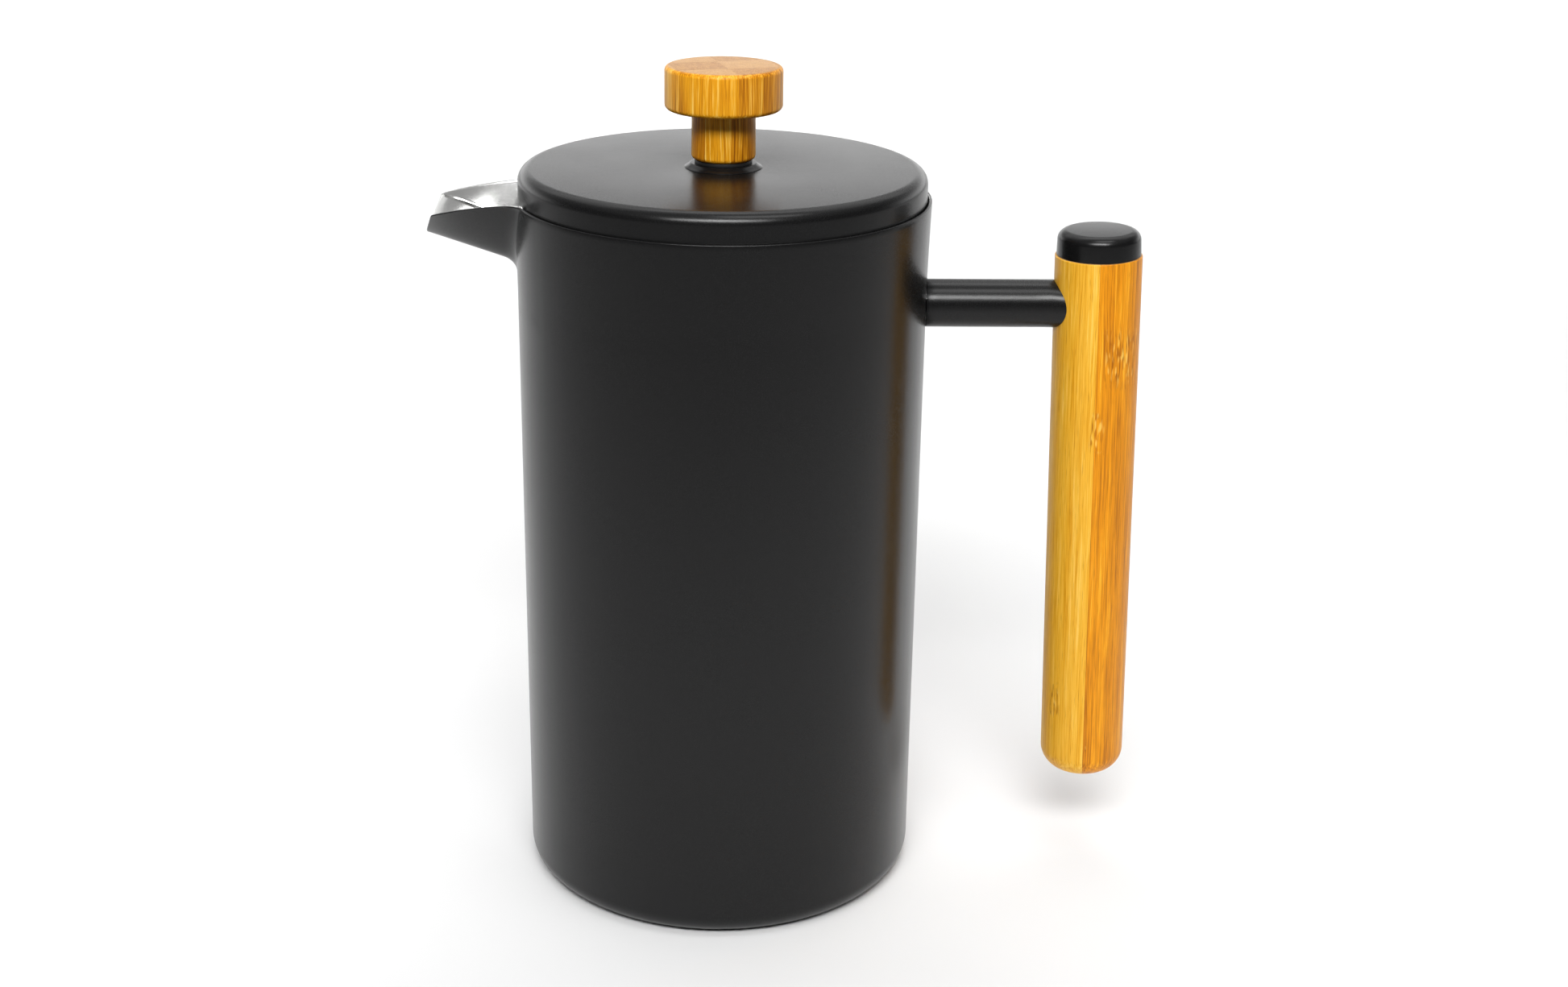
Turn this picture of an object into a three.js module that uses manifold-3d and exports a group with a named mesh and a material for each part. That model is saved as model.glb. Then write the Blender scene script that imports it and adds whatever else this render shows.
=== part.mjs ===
// A french press: a double-wall steel pot with a side handle, a lid, and a plunger with a disc filter.
// Millimetres, +Z up. The origin is the centre of the base, on the surface that the pot stands on.
// The handle points along +X and the spout along -X. The plunger is pressed right down.

import * as THREE from 'three';
import { mergeVertices } from 'three/addons/utils/BufferGeometryUtils.js';
import Module from 'manifold-3d';

const wasm = await Module();
wasm.setup();

// Clearance between pieces that touch or run on each other.
const GAP = 0.3;
const ROUND_STEPS = 48;
const WOOD_STEPS = 32;
const KNOB_STEPS = 40;
const SMALL_STEPS = 24;
const HOLE_STEPS = 12;
const FOOT_STEPS = 5;
const FILLET_STEPS = 4;
const SMALL_FILLET_STEPS = 3;
const HEXAGON = 6;

// Heights between which a cutter runs right through the top of the pot, and through the filter.
const [TOP_CUT_LOW_Z, TOP_CUT_HIGH_Z] = [100, 210];
const [FILTER_CUT_LOW_Z, FILTER_CUT_HIGH_Z] = [0, 40];
// A start inside the wall for pieces that are cut to the pot's curve, and spare length past a cut.
const WALL_START_X = 50;
const SPARE = 10;

// Pot body.
const SHELL_RADIUS = 54;
const SHELL_FLARE = 0.6;
const SHELL_FLARE_HEIGHT = 25;
const SHELL_FILLET = 6;
const WALL = 0.8;
const RIM_Z = 190.9;
const SEAT_Z = 187.9;
const SEAT_RADIUS = 52.9;
const BASE_RADIUS = 39.7;
const BASE_THICKNESS = 1.2;
const VESSEL_RADIUS = 49.5;
const VESSEL_FLOOR_Z = 6.8;
const VESSEL_FILLET = 5;

// Spout: a trough with a V section, from the wall out to a raked lip.
const SPOUT_TIP_X = -77.5;
const SPOUT_TIP_Z = 180.7;
const SPOUT_LIP_RAKE = 2.6;
const SPOUT_LIP_HEIGHT = 6.8;
const SPOUT_LIP_HALF_WIDTH = 13;
const SPOUT_ROOT_X = -48;
const SPOUT_ROOT_Z = 170.7;
const SPOUT_ROOT_HALF_WIDTH = 16.8;
const SPOUT_RIM_CROWN = 0.9;
const SPOUT_KEEL = 0.25;
const SPOUT_STATIONS = [0, 0.2, 0.4, 0.6, 0.8, 1];
const SPOUT_SHARES = [-1, -0.6, -0.3, -0.1, 0.1, 0.3, 0.6, 1];
const SPOUT_WALL = 0.9;
const LINER_WALL = 0.6;
const LINER_INSET = SPOUT_WALL + 2 * GAP;
const LINER_EDGE_X = -62;
const LINER_EDGE_RADIUS = 21;

// Handle: a level tube post carrying an upright grip that leans a little, foot outwards.
const POST_Z = 161.9;
const POST_RADIUS = 6.4;
const POST_BORE = 4.9;
const STUD_RADIUS = 2.5;
const STUD_FLANGE_RADIUS = 4.4;
const STUD_FLANGE_THICKNESS = 1.5;
const STUD_END_GAP = 1;
const GRIP_X = 100.2;
const GRIP_LEAN = 0.03;
const GRIP_RADIUS = 11.6;
const GRIP_BELOW_POST = 137.8;
const GRIP_ABOVE_POST = 13.6;
const GRIP_FOOT_FILLET = 6.5;
const CAP_RADIUS = 11.2;
const CAP_HEIGHT = 6.7;
const CAP_FILLET = 3.8;
const CAP_SPIGOT_RADIUS = 6;
const CAP_SPIGOT_LENGTH = 7;
const INSERT_RADIUS = 3.5;
const INSERT_OUTER_X = 10.6;
const INSERT_INNER_X = 1.6;

// Lid.
const LID_RADIUS = 53.4;
const LID_BOTTOM_Z = SEAT_Z + GAP;
const LID_TOP_Z = 198.3;
const LID_FILLET = 3.3;
const LID_SHEET = 1;
const LID_INNER_EASE = 1.5;
const LINER_RADIUS = 48.9;
const LINER_BOTTOM_Z = 172;
const LID_HOLE = 4.1;
const SLOT_COUNT = 9;
const SLOT_WIDTH = 2;
const SLOT_CUT_DEPTH = 6;
const SLOT_PITCH = 7.5;
const SLOT_LOW_Z = 176;
const SLOT_HIGH_Z = 186;

// Rod guide in the lid's centre.
const BUSHING_SHANK = 3.8;
const BUSHING_FOOT_RADIUS = 10.3;
const BUSHING_TOP_RADIUS = 8.3;
const BUSHING_FLANGE = 0.7;
const BUSHING_LENGTH = 11;
const NUT_RADIUS = 6.9;
const NUT_HEIGHT = 4;
const WASHER_RADIUS = 7.6;
const WASHER_THICKNESS = 0.5;

// Plunger.
const ROD_RADIUS = 2.5;
const ROD_BORE = ROD_RADIUS + GAP;
const ROD_LOW_Z = 14;
const ROD_HIGH_Z = 212;
const KNOB_STEM_RADIUS = 8.25;
const KNOB_STEM_FOOT = 0.2;
const KNOB_DISC_RADIUS = 15.3;
const KNOB_DISC_Z = 213.3;
const KNOB_TOP_Z = 224.5;
const KNOB_FILLET = 1.8;
const KNOB_COVE = 1;
const KNOB_COVE_STEPS = 2;
const KNOB_ROD_SPACE = 3;
const KNOB_INSERT_RADIUS = 3.9;
const KNOB_INSERT_LENGTH = 11;
const HUB_RADIUS = 6;
const HUB_NUT_Z = 15;
const CROSS_PLATE_Z = 19.3;
const PLATE_THICKNESS = 1;
const CROSS_PLATE_RADIUS = 46.5;
const CROSS_PLATE_HOLES = [
  { count: 8, radius: 8.5, pitchRadius: 34 },
  { count: 4, radius: 5, pitchRadius: 15 },
];
const MESH_RADIUS = 48;
const MESH_THICKNESS = 0.4;
const SPRING_PLATE_RADIUS = 45;
const SPRING_PLATE_HOLES = { count: 8, radius: 6, pitchRadius: 30 };
const SPRING_TUBE = 1.8;
const SPRING_TUBE_STEPS = 8;
const SPRING_OUTER_RADIUS = 49.1;
const COLLAR_HEIGHT = 6;

const material = (color, roughness, metalness) => new THREE.MeshStandardMaterial({ color, roughness, metalness });
const blackCoat = material(0x202021, 0.42, 0.1);
const steel = material(0xc4c6c8, 0.28, 1);
const brass = material(0xb8974a, 0.35, 1);
const bamboo = material(0xe3a84a, 0.5, 0);
const blackPlastic = material(0x18181a, 0.5, 0);

const group = new THREE.Group();

function addPiece(name, geometry, finish, parent = group) {
  const mesh = new THREE.Mesh(geometry, finish);
  mesh.name = name;
  parent.add(mesh);
}

// Points of an arc in a profile's radius and height plane. Angles are in degrees from the radius axis.
function arc(centreR, centreZ, radius, fromDegrees, toDegrees, steps) {
  return Array.from({ length: steps + 1 }, (_, i) => {
    const angle = THREE.MathUtils.degToRad(fromDegrees + ((toDegrees - fromDegrees) * i) / steps);
    return new THREE.Vector2(centreR + radius * Math.cos(angle), centreZ + radius * Math.sin(angle));
  });
}

const point = (radius, z) => new THREE.Vector2(radius, z);

// A solid turned about Z. The profile runs anticlockwise round its material, radius across and Z up.
function turned(profile, steps = ROUND_STEPS) {
  return new THREE.LatheGeometry(profile, steps).rotateX(Math.PI / 2);
}

function turnedRing(profile, steps = ROUND_STEPS) {
  return turned([...profile, profile[0].clone()], steps);
}

function disc(innerRadius, outerRadius, lowZ, highZ, steps = ROUND_STEPS) {
  const corners = [
    point(innerRadius, lowZ),
    point(outerRadius, lowZ),
    point(outerRadius, highZ),
    point(innerRadius, highZ),
  ];
  return innerRadius > 0 ? turnedRing(corners, steps) : turned(corners, steps);
}

const rod = (radius, lowZ, highZ, steps = SMALL_STEPS) => disc(0, radius, lowZ, highZ, steps);

// The same rod along X.
const rodAlongX = (radius, lowX, highX) => rod(radius, lowX, highX).rotateY(Math.PI / 2);

function toSolid(geometry) {
  const bare = geometry.clone();
  bare.deleteAttribute('normal');
  bare.deleteAttribute('uv');
  const merged = mergeVertices(bare, 1e-4);
  const corners = merged.index.array;
  const kept = [];
  for (let i = 0; i < corners.length; i += 3) {
    const [a, b, c] = [corners[i], corners[i + 1], corners[i + 2]];
    if (a !== b && b !== c && c !== a) kept.push(a, b, c);
  }
  return new wasm.Manifold(
    new wasm.Mesh({
      numProp: 3,
      vertProperties: new Float32Array(merged.attributes.position.array),
      triVerts: new Uint32Array(kept),
    }),
  );
}

function toGeometry(solid) {
  const mesh = solid.getMesh();
  const geometry = new THREE.BufferGeometry();
  geometry.setAttribute('position', new THREE.BufferAttribute(new Float32Array(mesh.vertProperties), 3));
  geometry.setIndex(new THREE.BufferAttribute(new Uint32Array(mesh.triVerts), 1));
  return geometry;
}

function cut(geometry, ...cutters) {
  return toGeometry(cutters.reduce((solid, cutter) => solid.subtract(toSolid(cutter)), toSolid(geometry)));
}

// ---- Spout ----

// How far up the V section is at a share of its half width: 0 at the keel, 1 at the rim.
function troughRise(share) {
  const reach = Math.hypot(1, SPOUT_KEEL) - SPOUT_KEEL;
  return (Math.hypot(share, SPOUT_KEEL) - SPOUT_KEEL) / reach;
}

// One edge of the trough's section, shrunk by inset. along is 0 at the lip and 1 at the root inside the pot.
function troughEdge(along, inset) {
  const halfWidth = THREE.MathUtils.lerp(SPOUT_LIP_HALF_WIDTH, SPOUT_ROOT_HALF_WIDTH, along) - inset;
  return SPOUT_SHARES.map((share) => {
    const rise = troughRise(share);
    const lipX = SPOUT_TIP_X + SPOUT_LIP_RAKE * rise;
    const lipZ = SPOUT_TIP_Z + SPOUT_LIP_HEIGHT * rise;
    const rootZ = SPOUT_ROOT_Z + (RIM_Z - SPOUT_ROOT_Z) * rise;
    const crown = 4 * along * (1 - along) * SPOUT_RIM_CROWN * rise;
    const x = THREE.MathUtils.lerp(lipX, SPOUT_ROOT_X, along);
    const z = THREE.MathUtils.lerp(lipZ, rootZ, along) + crown + inset * (1 - rise);
    return new THREE.Vector3(x, halfWidth * share, z);
  });
}

// A closed body between a lower and an upper edge, each given as a function of the place along the spout.
function troughBody(lowerEdge, upperEdge, stations) {
  const loops = stations.map((along) => [...lowerEdge(along), ...upperEdge(along).reverse()]);
  const size = loops[0].length;
  const index = [];
  const addQuad = (a, b, c, d) => index.push(a, c, b, a, d, c);
  for (let i = 0; i + 1 < loops.length; i += 1) {
    for (let j = 0; j < size; j += 1) {
      const next = (j + 1) % size;
      addQuad(i * size + j, (i + 1) * size + j, (i + 1) * size + next, i * size + next);
    }
  }
  const last = (loops.length - 1) * size;
  for (let j = 0; j + 1 < size / 2; j += 1) {
    addQuad(j, j + 1, size - 2 - j, size - 1 - j);
    addQuad(last + size - 1 - j, last + size - 2 - j, last + j + 1, last + j);
  }
  const geometry = new THREE.BufferGeometry().setFromPoints(loops.flat());
  return geometry.setIndex(index);
}

const troughSheet = (inset, wall) =>
  troughBody((along) => troughEdge(along, inset), (along) => troughEdge(along, inset + wall), SPOUT_STATIONS);

// The space in and above the trough, run out past both ends.
function troughCutter(inset) {
  const ceiling = (along) => troughEdge(along, inset).map((corner) => corner.setZ(RIM_Z + SPARE));
  return troughBody((along) => troughEdge(along, inset), ceiling, [-0.2, ...SPOUT_STATIONS, 1.2]);
}

// The mouth above the shoulder, which the lid fills.
const lidSpace = () => rod(SHELL_RADIUS + SHELL_FLARE - WALL, SEAT_Z, TOP_CUT_HIGH_Z, ROUND_STEPS);

const topCutter = (radius) => rod(radius, TOP_CUT_LOW_Z, TOP_CUT_HIGH_Z, ROUND_STEPS);

function spout() {
  return cut(troughSheet(0, SPOUT_WALL), topCutter(SHELL_RADIUS - WALL), lidSpace());
}

function spoutLiner() {
  const frontEdge = topCutter(LINER_EDGE_RADIUS).translate(LINER_EDGE_X - LINER_EDGE_RADIUS, 0, 0);
  return cut(troughSheet(LINER_INSET, LINER_WALL), frontEdge, topCutter(VESSEL_RADIUS + GAP), lidSpace());
}

// ---- Pot ----

function outerShell() {
  const flareZ = RIM_Z - SHELL_FLARE_HEIGHT;
  const centreR = SHELL_RADIUS - SHELL_FILLET;
  const inner = SHELL_RADIUS - WALL;
  const profile = [
    point(BASE_RADIUS + GAP, 0),
    ...arc(centreR, SHELL_FILLET, SHELL_FILLET, -90, 0, FOOT_STEPS),
    point(SHELL_RADIUS, flareZ),
    point(SHELL_RADIUS + SHELL_FLARE, RIM_Z),
    point(inner + SHELL_FLARE, RIM_Z),
    point(inner, flareZ),
    ...arc(centreR, SHELL_FILLET, SHELL_FILLET - WALL, 0, -90, FOOT_STEPS),
    point(BASE_RADIUS + GAP, WALL),
  ];
  return cut(turnedRing(profile), troughCutter(-GAP));
}

const basePlate = () => disc(0, BASE_RADIUS, 0, BASE_THICKNESS);

// The vessel ends in a flat shoulder inside the mouth, which the lid stands on.
function innerVessel() {
  const centreR = VESSEL_RADIUS - VESSEL_FILLET;
  const centreZ = VESSEL_FLOOR_Z + VESSEL_FILLET;
  const profile = [
    point(0, VESSEL_FLOOR_Z - WALL),
    ...arc(centreR, centreZ, VESSEL_FILLET + WALL, -90, 0, FILLET_STEPS),
    point(VESSEL_RADIUS + WALL, SEAT_Z - WALL),
    point(SEAT_RADIUS, SEAT_Z - WALL),
    point(SEAT_RADIUS, SEAT_Z),
    point(VESSEL_RADIUS, SEAT_Z),
    ...arc(centreR, centreZ, VESSEL_FILLET, 0, -90, FILLET_STEPS),
    point(0, VESSEL_FLOOR_Z),
  ];
  return cut(turned(profile), troughCutter(LINER_INSET - GAP));
}

// ---- Handle ----

// The grip's own space: its axis is Z, and the post meets it at the origin.
const grip = new THREE.Group();
grip.position.set(GRIP_X, 0, POST_Z);
grip.rotation.y = -GRIP_LEAN;
group.add(grip);
grip.updateMatrix();

const inPostSpace = (geometry) => geometry.translate(0, 0, POST_Z);

function weldStud() {
  const flange = toSolid(rodAlongX(STUD_FLANGE_RADIUS, WALL_START_X, SHELL_RADIUS + STUD_FLANGE_THICKNESS));
  const shank = toSolid(rodAlongX(STUD_RADIUS, WALL_START_X, GRIP_X - INSERT_INNER_X - STUD_END_GAP));
  const stud = toGeometry(flange.add(shank));
  return cut(inPostSpace(stud), topCutter(SHELL_RADIUS + GAP));
}

function handlePost() {
  const tube = inPostSpace(rodAlongX(POST_RADIUS, WALL_START_X, GRIP_X));
  const bore = inPostSpace(rodAlongX(POST_BORE, WALL_START_X - SPARE, GRIP_X + SPARE));
  const saddleReach = 2 * POST_RADIUS;
  const gripSaddle = rod(GRIP_RADIUS + GAP, -saddleReach, saddleReach, ROUND_STEPS).applyMatrix4(grip.matrix);
  return cut(tube, bore, topCutter(SHELL_RADIUS + GAP), gripSaddle);
}

function gripInsert() {
  const barrel = rodAlongX(INSERT_RADIUS, -INSERT_OUTER_X, -INSERT_INNER_X);
  const thread = rodAlongX(STUD_RADIUS + GAP, -INSERT_OUTER_X - SPARE, 0);
  return cut(barrel, thread);
}

function handleGrip() {
  const centreR = GRIP_RADIUS - GRIP_FOOT_FILLET;
  const spigotHole = CAP_SPIGOT_RADIUS + GAP;
  const profile = [
    point(0, -GRIP_BELOW_POST),
    ...arc(centreR, GRIP_FOOT_FILLET - GRIP_BELOW_POST, GRIP_FOOT_FILLET, -90, 0, FILLET_STEPS),
    point(GRIP_RADIUS, GRIP_ABOVE_POST),
    point(spigotHole, GRIP_ABOVE_POST),
    point(spigotHole, GRIP_ABOVE_POST - CAP_SPIGOT_LENGTH - GAP),
    point(0, GRIP_ABOVE_POST - CAP_SPIGOT_LENGTH - GAP),
  ];
  const insertHole = rodAlongX(INSERT_RADIUS + GAP, -2 * GRIP_RADIUS, GAP - INSERT_INNER_X);
  return cut(turned(profile, WOOD_STEPS), insertHole);
}

function gripCap() {
  const lowZ = GRIP_ABOVE_POST + GAP;
  const highZ = GRIP_ABOVE_POST + CAP_HEIGHT;
  const profile = [
    point(0, lowZ - CAP_SPIGOT_LENGTH),
    point(CAP_SPIGOT_RADIUS, lowZ - CAP_SPIGOT_LENGTH),
    point(CAP_SPIGOT_RADIUS, lowZ),
    point(CAP_RADIUS, lowZ),
    ...arc(CAP_RADIUS - CAP_FILLET, highZ - CAP_FILLET, CAP_FILLET, 0, 90, FILLET_STEPS),
    point(0, highZ),
  ];
  return turned(profile, WOOD_STEPS);
}

// ---- Lid ----

function lidCap() {
  const inner = LID_RADIUS - LID_SHEET;
  const underZ = LID_TOP_Z - LID_SHEET;
  // The inside corner is eased so that the sheet keeps its thickness round the fillet.
  const profile = [
    point(LID_HOLE, underZ),
    point(inner - LID_INNER_EASE, underZ),
    point(inner, underZ - LID_INNER_EASE),
    point(inner, LID_BOTTOM_Z),
    point(LID_RADIUS, LID_BOTTOM_Z),
    ...arc(LID_RADIUS - LID_FILLET, LID_TOP_Z - LID_FILLET, LID_FILLET, 0, 90, FILLET_STEPS),
    point(LID_HOLE, LID_TOP_Z),
  ];
  return turnedRing(profile);
}

const linerTopZ = LID_TOP_Z - LID_SHEET - 3 * GAP;

function lidLiner() {
  const outer = LINER_RADIUS;
  const inner = LINER_RADIUS - WALL;
  const flange = LID_RADIUS - LID_SHEET - GAP;
  const profile = [
    point(LID_HOLE, linerTopZ - WALL),
    point(inner, linerTopZ - WALL),
    point(inner, LINER_BOTTOM_Z),
    point(outer, LINER_BOTTOM_Z),
    point(outer, LID_BOTTOM_Z),
    point(flange, LID_BOTTOM_Z),
    point(flange, LID_BOTTOM_Z + WALL),
    point(outer, LID_BOTTOM_Z + WALL),
    point(outer, linerTopZ),
    point(LID_HOLE, linerTopZ),
  ];
  const slotHeight = SLOT_HIGH_Z - SLOT_LOW_Z;
  const slots = Array.from({ length: SLOT_COUNT }, (_, i) => {
    const turn = THREE.MathUtils.degToRad(SLOT_PITCH * (i - (SLOT_COUNT - 1) / 2));
    const slot = new THREE.BoxGeometry(SLOT_CUT_DEPTH, SLOT_WIDTH, slotHeight);
    return slot.translate(-LINER_RADIUS, 0, SLOT_LOW_Z + slotHeight / 2).rotateZ(turn);
  });
  return cut(turnedRing(profile), ...slots);
}

function rodBushing() {
  const footZ = LID_TOP_Z + GAP;
  const topZ = footZ + BUSHING_FLANGE;
  const profile = [
    point(ROD_BORE, topZ - BUSHING_LENGTH),
    point(BUSHING_SHANK, topZ - BUSHING_LENGTH),
    point(BUSHING_SHANK, footZ),
    point(BUSHING_FOOT_RADIUS, footZ),
    point(BUSHING_TOP_RADIUS, topZ),
    point(ROD_BORE, topZ),
  ];
  return turnedRing(profile, SMALL_STEPS);
}

function bushingNut() {
  const topZ = linerTopZ - WALL - GAP;
  const hexagon = rod(NUT_RADIUS, topZ - NUT_HEIGHT, topZ, HEXAGON);
  return cut(hexagon, rod(BUSHING_SHANK + GAP, topZ - NUT_HEIGHT - SPARE, topZ + SPARE));
}

const washerLowZ = LID_TOP_Z + BUSHING_FLANGE + 2 * GAP;
const knobWasher = () => disc(ROD_BORE, WASHER_RADIUS, washerLowZ, washerLowZ + WASHER_THICKNESS, SMALL_STEPS);

// ---- Plunger ----

const knobLowZ = washerLowZ + WASHER_THICKNESS + GAP;

function knob() {
  const hole = KNOB_INSERT_RADIUS + GAP;
  const holeTopZ = knobLowZ + KNOB_INSERT_LENGTH + 2 * GAP;
  const shoulderR = KNOB_DISC_RADIUS - KNOB_FILLET;
  const profile = [
    point(0, holeTopZ + KNOB_ROD_SPACE),
    point(ROD_BORE, holeTopZ + KNOB_ROD_SPACE),
    point(ROD_BORE, holeTopZ),
    point(hole, holeTopZ),
    point(hole, knobLowZ),
    point(KNOB_STEM_RADIUS + KNOB_STEM_FOOT, knobLowZ),
    ...arc(KNOB_STEM_RADIUS + KNOB_COVE, KNOB_DISC_Z - KNOB_COVE, KNOB_COVE, 180, 90, KNOB_COVE_STEPS),
    ...arc(shoulderR, KNOB_DISC_Z + KNOB_FILLET, KNOB_FILLET, -90, 0, SMALL_FILLET_STEPS),
    ...arc(shoulderR, KNOB_TOP_Z - KNOB_FILLET, KNOB_FILLET, 0, 90, SMALL_FILLET_STEPS),
    point(0, KNOB_TOP_Z),
  ];
  return turned(profile, KNOB_STEPS);
}

function knobInsert() {
  const lowZ = knobLowZ + GAP;
  return disc(ROD_BORE, KNOB_INSERT_RADIUS, lowZ, lowZ + KNOB_INSERT_LENGTH, SMALL_STEPS);
}

const plungerRod = () => rod(ROD_RADIUS, ROD_LOW_Z, ROD_HIGH_Z);

const meshLowZ = CROSS_PLATE_Z + PLATE_THICKNESS + GAP;
const springPlateLowZ = meshLowZ + MESH_THICKNESS + GAP;
const springPlateHighZ = springPlateLowZ + PLATE_THICKNESS;

// A row of round holes through a plate.
function holeRow({ count, radius, pitchRadius }) {
  const drill = rod(radius, FILTER_CUT_LOW_Z, FILTER_CUT_HIGH_Z, HOLE_STEPS).translate(pitchRadius, 0, 0);
  return Array.from({ length: count }, (_, i) => drill.clone().rotateZ((2 * Math.PI * i) / count));
}

function hubNut() {
  const hexagon = rod(HUB_RADIUS, HUB_NUT_Z, CROSS_PLATE_Z - GAP, HEXAGON);
  return cut(hexagon, rod(ROD_BORE, FILTER_CUT_LOW_Z, FILTER_CUT_HIGH_Z));
}

function crossPlate() {
  const plate = disc(ROD_BORE, CROSS_PLATE_RADIUS, CROSS_PLATE_Z, CROSS_PLATE_Z + PLATE_THICKNESS);
  return cut(plate, ...CROSS_PLATE_HOLES.flatMap(holeRow));
}

const meshScreen = () => disc(ROD_BORE, MESH_RADIUS, meshLowZ, meshLowZ + MESH_THICKNESS);

function springPlate() {
  const plate = disc(ROD_BORE, SPRING_PLATE_RADIUS, springPlateLowZ, springPlateHighZ);
  return cut(plate, ...holeRow(SPRING_PLATE_HOLES));
}

// The coil spring round the filter's edge, as the ring that it fills.
function edgeSpring() {
  const centreR = SPRING_OUTER_RADIUS - SPRING_TUBE;
  return turned(arc(centreR, springPlateLowZ + SPRING_TUBE, SPRING_TUBE, 0, 360, SPRING_TUBE_STEPS));
}

function rodCollar() {
  const lowZ = springPlateHighZ + GAP;
  return disc(ROD_BORE, HUB_RADIUS, lowZ, lowZ + COLLAR_HEIGHT, SMALL_STEPS);
}

addPiece('outer_shell', outerShell(), blackCoat);
addPiece('base_plate', basePlate(), blackCoat);
addPiece('inner_vessel', innerVessel(), steel);
addPiece('spout', spout(), blackCoat);
addPiece('spout_liner', spoutLiner(), steel);
addPiece('weld_stud', weldStud(), steel);
addPiece('handle_post', handlePost(), blackCoat);
addPiece('grip_insert', gripInsert(), brass, grip);
addPiece('handle_grip', handleGrip(), bamboo, grip);
addPiece('grip_cap', gripCap(), blackCoat, grip);
addPiece('lid_cap', lidCap(), blackCoat);
addPiece('lid_liner', lidLiner(), steel);
addPiece('rod_bushing', rodBushing(), blackPlastic);
addPiece('bushing_nut', bushingNut(), steel);
addPiece('knob_washer', knobWasher(), blackPlastic);
addPiece('knob', knob(), bamboo);
addPiece('knob_insert', knobInsert(), brass);
addPiece('plunger_rod', plungerRod(), steel);
addPiece('rod_collar', rodCollar(), steel);
addPiece('spring_plate', springPlate(), steel);
addPiece('edge_spring', edgeSpring(), steel);
addPiece('mesh_screen', meshScreen(), steel);
addPiece('cross_plate', crossPlate(), steel);
addPiece('hub_nut', hubNut(), steel);

export default group;
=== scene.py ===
"""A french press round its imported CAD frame: coated steel pot, bamboo grip and knob, lid and plunger."""

import math

import bmesh
import bpy
import numpy as np
from mathutils import Matrix, Vector


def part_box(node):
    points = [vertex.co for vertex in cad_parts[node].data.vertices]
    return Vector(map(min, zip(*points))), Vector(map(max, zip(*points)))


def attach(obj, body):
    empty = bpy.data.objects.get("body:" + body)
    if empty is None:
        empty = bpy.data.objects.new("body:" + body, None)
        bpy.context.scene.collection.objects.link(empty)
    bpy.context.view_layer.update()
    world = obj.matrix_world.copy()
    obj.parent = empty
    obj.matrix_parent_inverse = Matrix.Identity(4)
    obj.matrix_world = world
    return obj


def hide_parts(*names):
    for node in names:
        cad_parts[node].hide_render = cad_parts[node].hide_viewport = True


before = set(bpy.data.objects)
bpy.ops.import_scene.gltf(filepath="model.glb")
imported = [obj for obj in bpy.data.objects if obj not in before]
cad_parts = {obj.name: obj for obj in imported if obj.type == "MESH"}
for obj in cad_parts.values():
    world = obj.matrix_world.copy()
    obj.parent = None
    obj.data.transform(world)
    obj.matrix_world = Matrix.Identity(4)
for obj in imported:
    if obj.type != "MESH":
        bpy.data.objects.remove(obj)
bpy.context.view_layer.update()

# Lengths below are in millimetres, and meshes are scaled to metres as they are made.
MM = 0.001

# ---- Sizes that the frame gives ----


def low(node, axis):
    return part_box(node)[0][axis] / MM


def high(node, axis):
    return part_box(node)[1][axis] / MM


Y, Z = 1, 2
RIM_Z = high("outer_shell", Z)
MOUTH_RADIUS = high("outer_shell", Y)
SEAT_Z = high("inner_vessel", Z)
LID_RADIUS = high("lid_cap", Y)
LID_LOW_Z = low("lid_cap", Z)
LID_TOP_Z = high("lid_cap", Z)
LINER_LOW_Z = low("lid_liner", Z)
LINER_TOP_Z = high("lid_liner", Z)
BUSHING_TOP_Z = high("rod_bushing", Z)
BUSHING_LOW_Z = low("rod_bushing", Z)
BUSHING_RADIUS = high("rod_bushing", Y)
NUT_LOW_Z = low("bushing_nut", Z)
NUT_TOP_Z = high("bushing_nut", Z)
KNOB_LOW_Z = low("knob", Z)
KNOB_TOP_Z = high("knob", Z)
KNOB_RADIUS = high("knob", Y)
ROD_RADIUS = high("plunger_rod", Y)
ROD_LOW_Z = low("plunger_rod", Z)
ROD_TOP_Z = high("plunger_rod", Z)
BASE_RADIUS = high("base_plate", Y)
POST_RADIUS = high("handle_post", Y)
POST_Z = (low("handle_post", Z) + high("handle_post", Z)) / 2

# ---- Sizes of the pot's walls and spout ----

SHELL_RADIUS = 54.0
SHELL_FILLET = 6.0
FLARE_HEIGHT = 25.0
SHEET = 0.8
VESSEL_RADIUS = 49.5
VESSEL_FLOOR_Z = 6.8
VESSEL_FILLET = 5.0
VESSEL_SHEET = 0.5
LEDGE_RADIUS = 53.45

TIP_X = -77.5
TIP_Z = 180.7
LIP_RAKE = 2.6
LIP_HEIGHT = 6.8
LIP_HALF_WIDTH = 13.0
ROOT_X = -48.0
ROOT_Z = 170.7
ROOT_HALF_WIDTH = 16.8
RIM_CROWN = 0.9
KEEL = 0.25
LINER_INSET = 1.3
LINER_DROP = 0.35
LINER_KEEL = 0.42
LINER_LIFT = 0.04
LINER_SETTLE = 0.4

# ---- Sizes of the handle ----

GRIP_X = 100.2
GRIP_LEAN = 0.03
GRIP_RADIUS = 11.6
GRIP_BELOW = 137.8
GRIP_ABOVE = 13.6
GRIP_FOOT_FILLET = 6.5
CAP_RADIUS = 11.2
CAP_HEIGHT = 6.7

# The grip and its cap are made about Z and then put here.
GRIP_PLACE = Matrix.Translation((GRIP_X * MM, 0, POST_Z * MM)) @ Matrix.Rotation(-GRIP_LEAN, 4, "Y")

ROUND = 192
SMALL_ROUND = 96

# ---- Nodes and materials ----

# Most of a noise texture's values lie in this range.
NOISE_MIDDLE = (0.3, 0.7)


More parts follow.
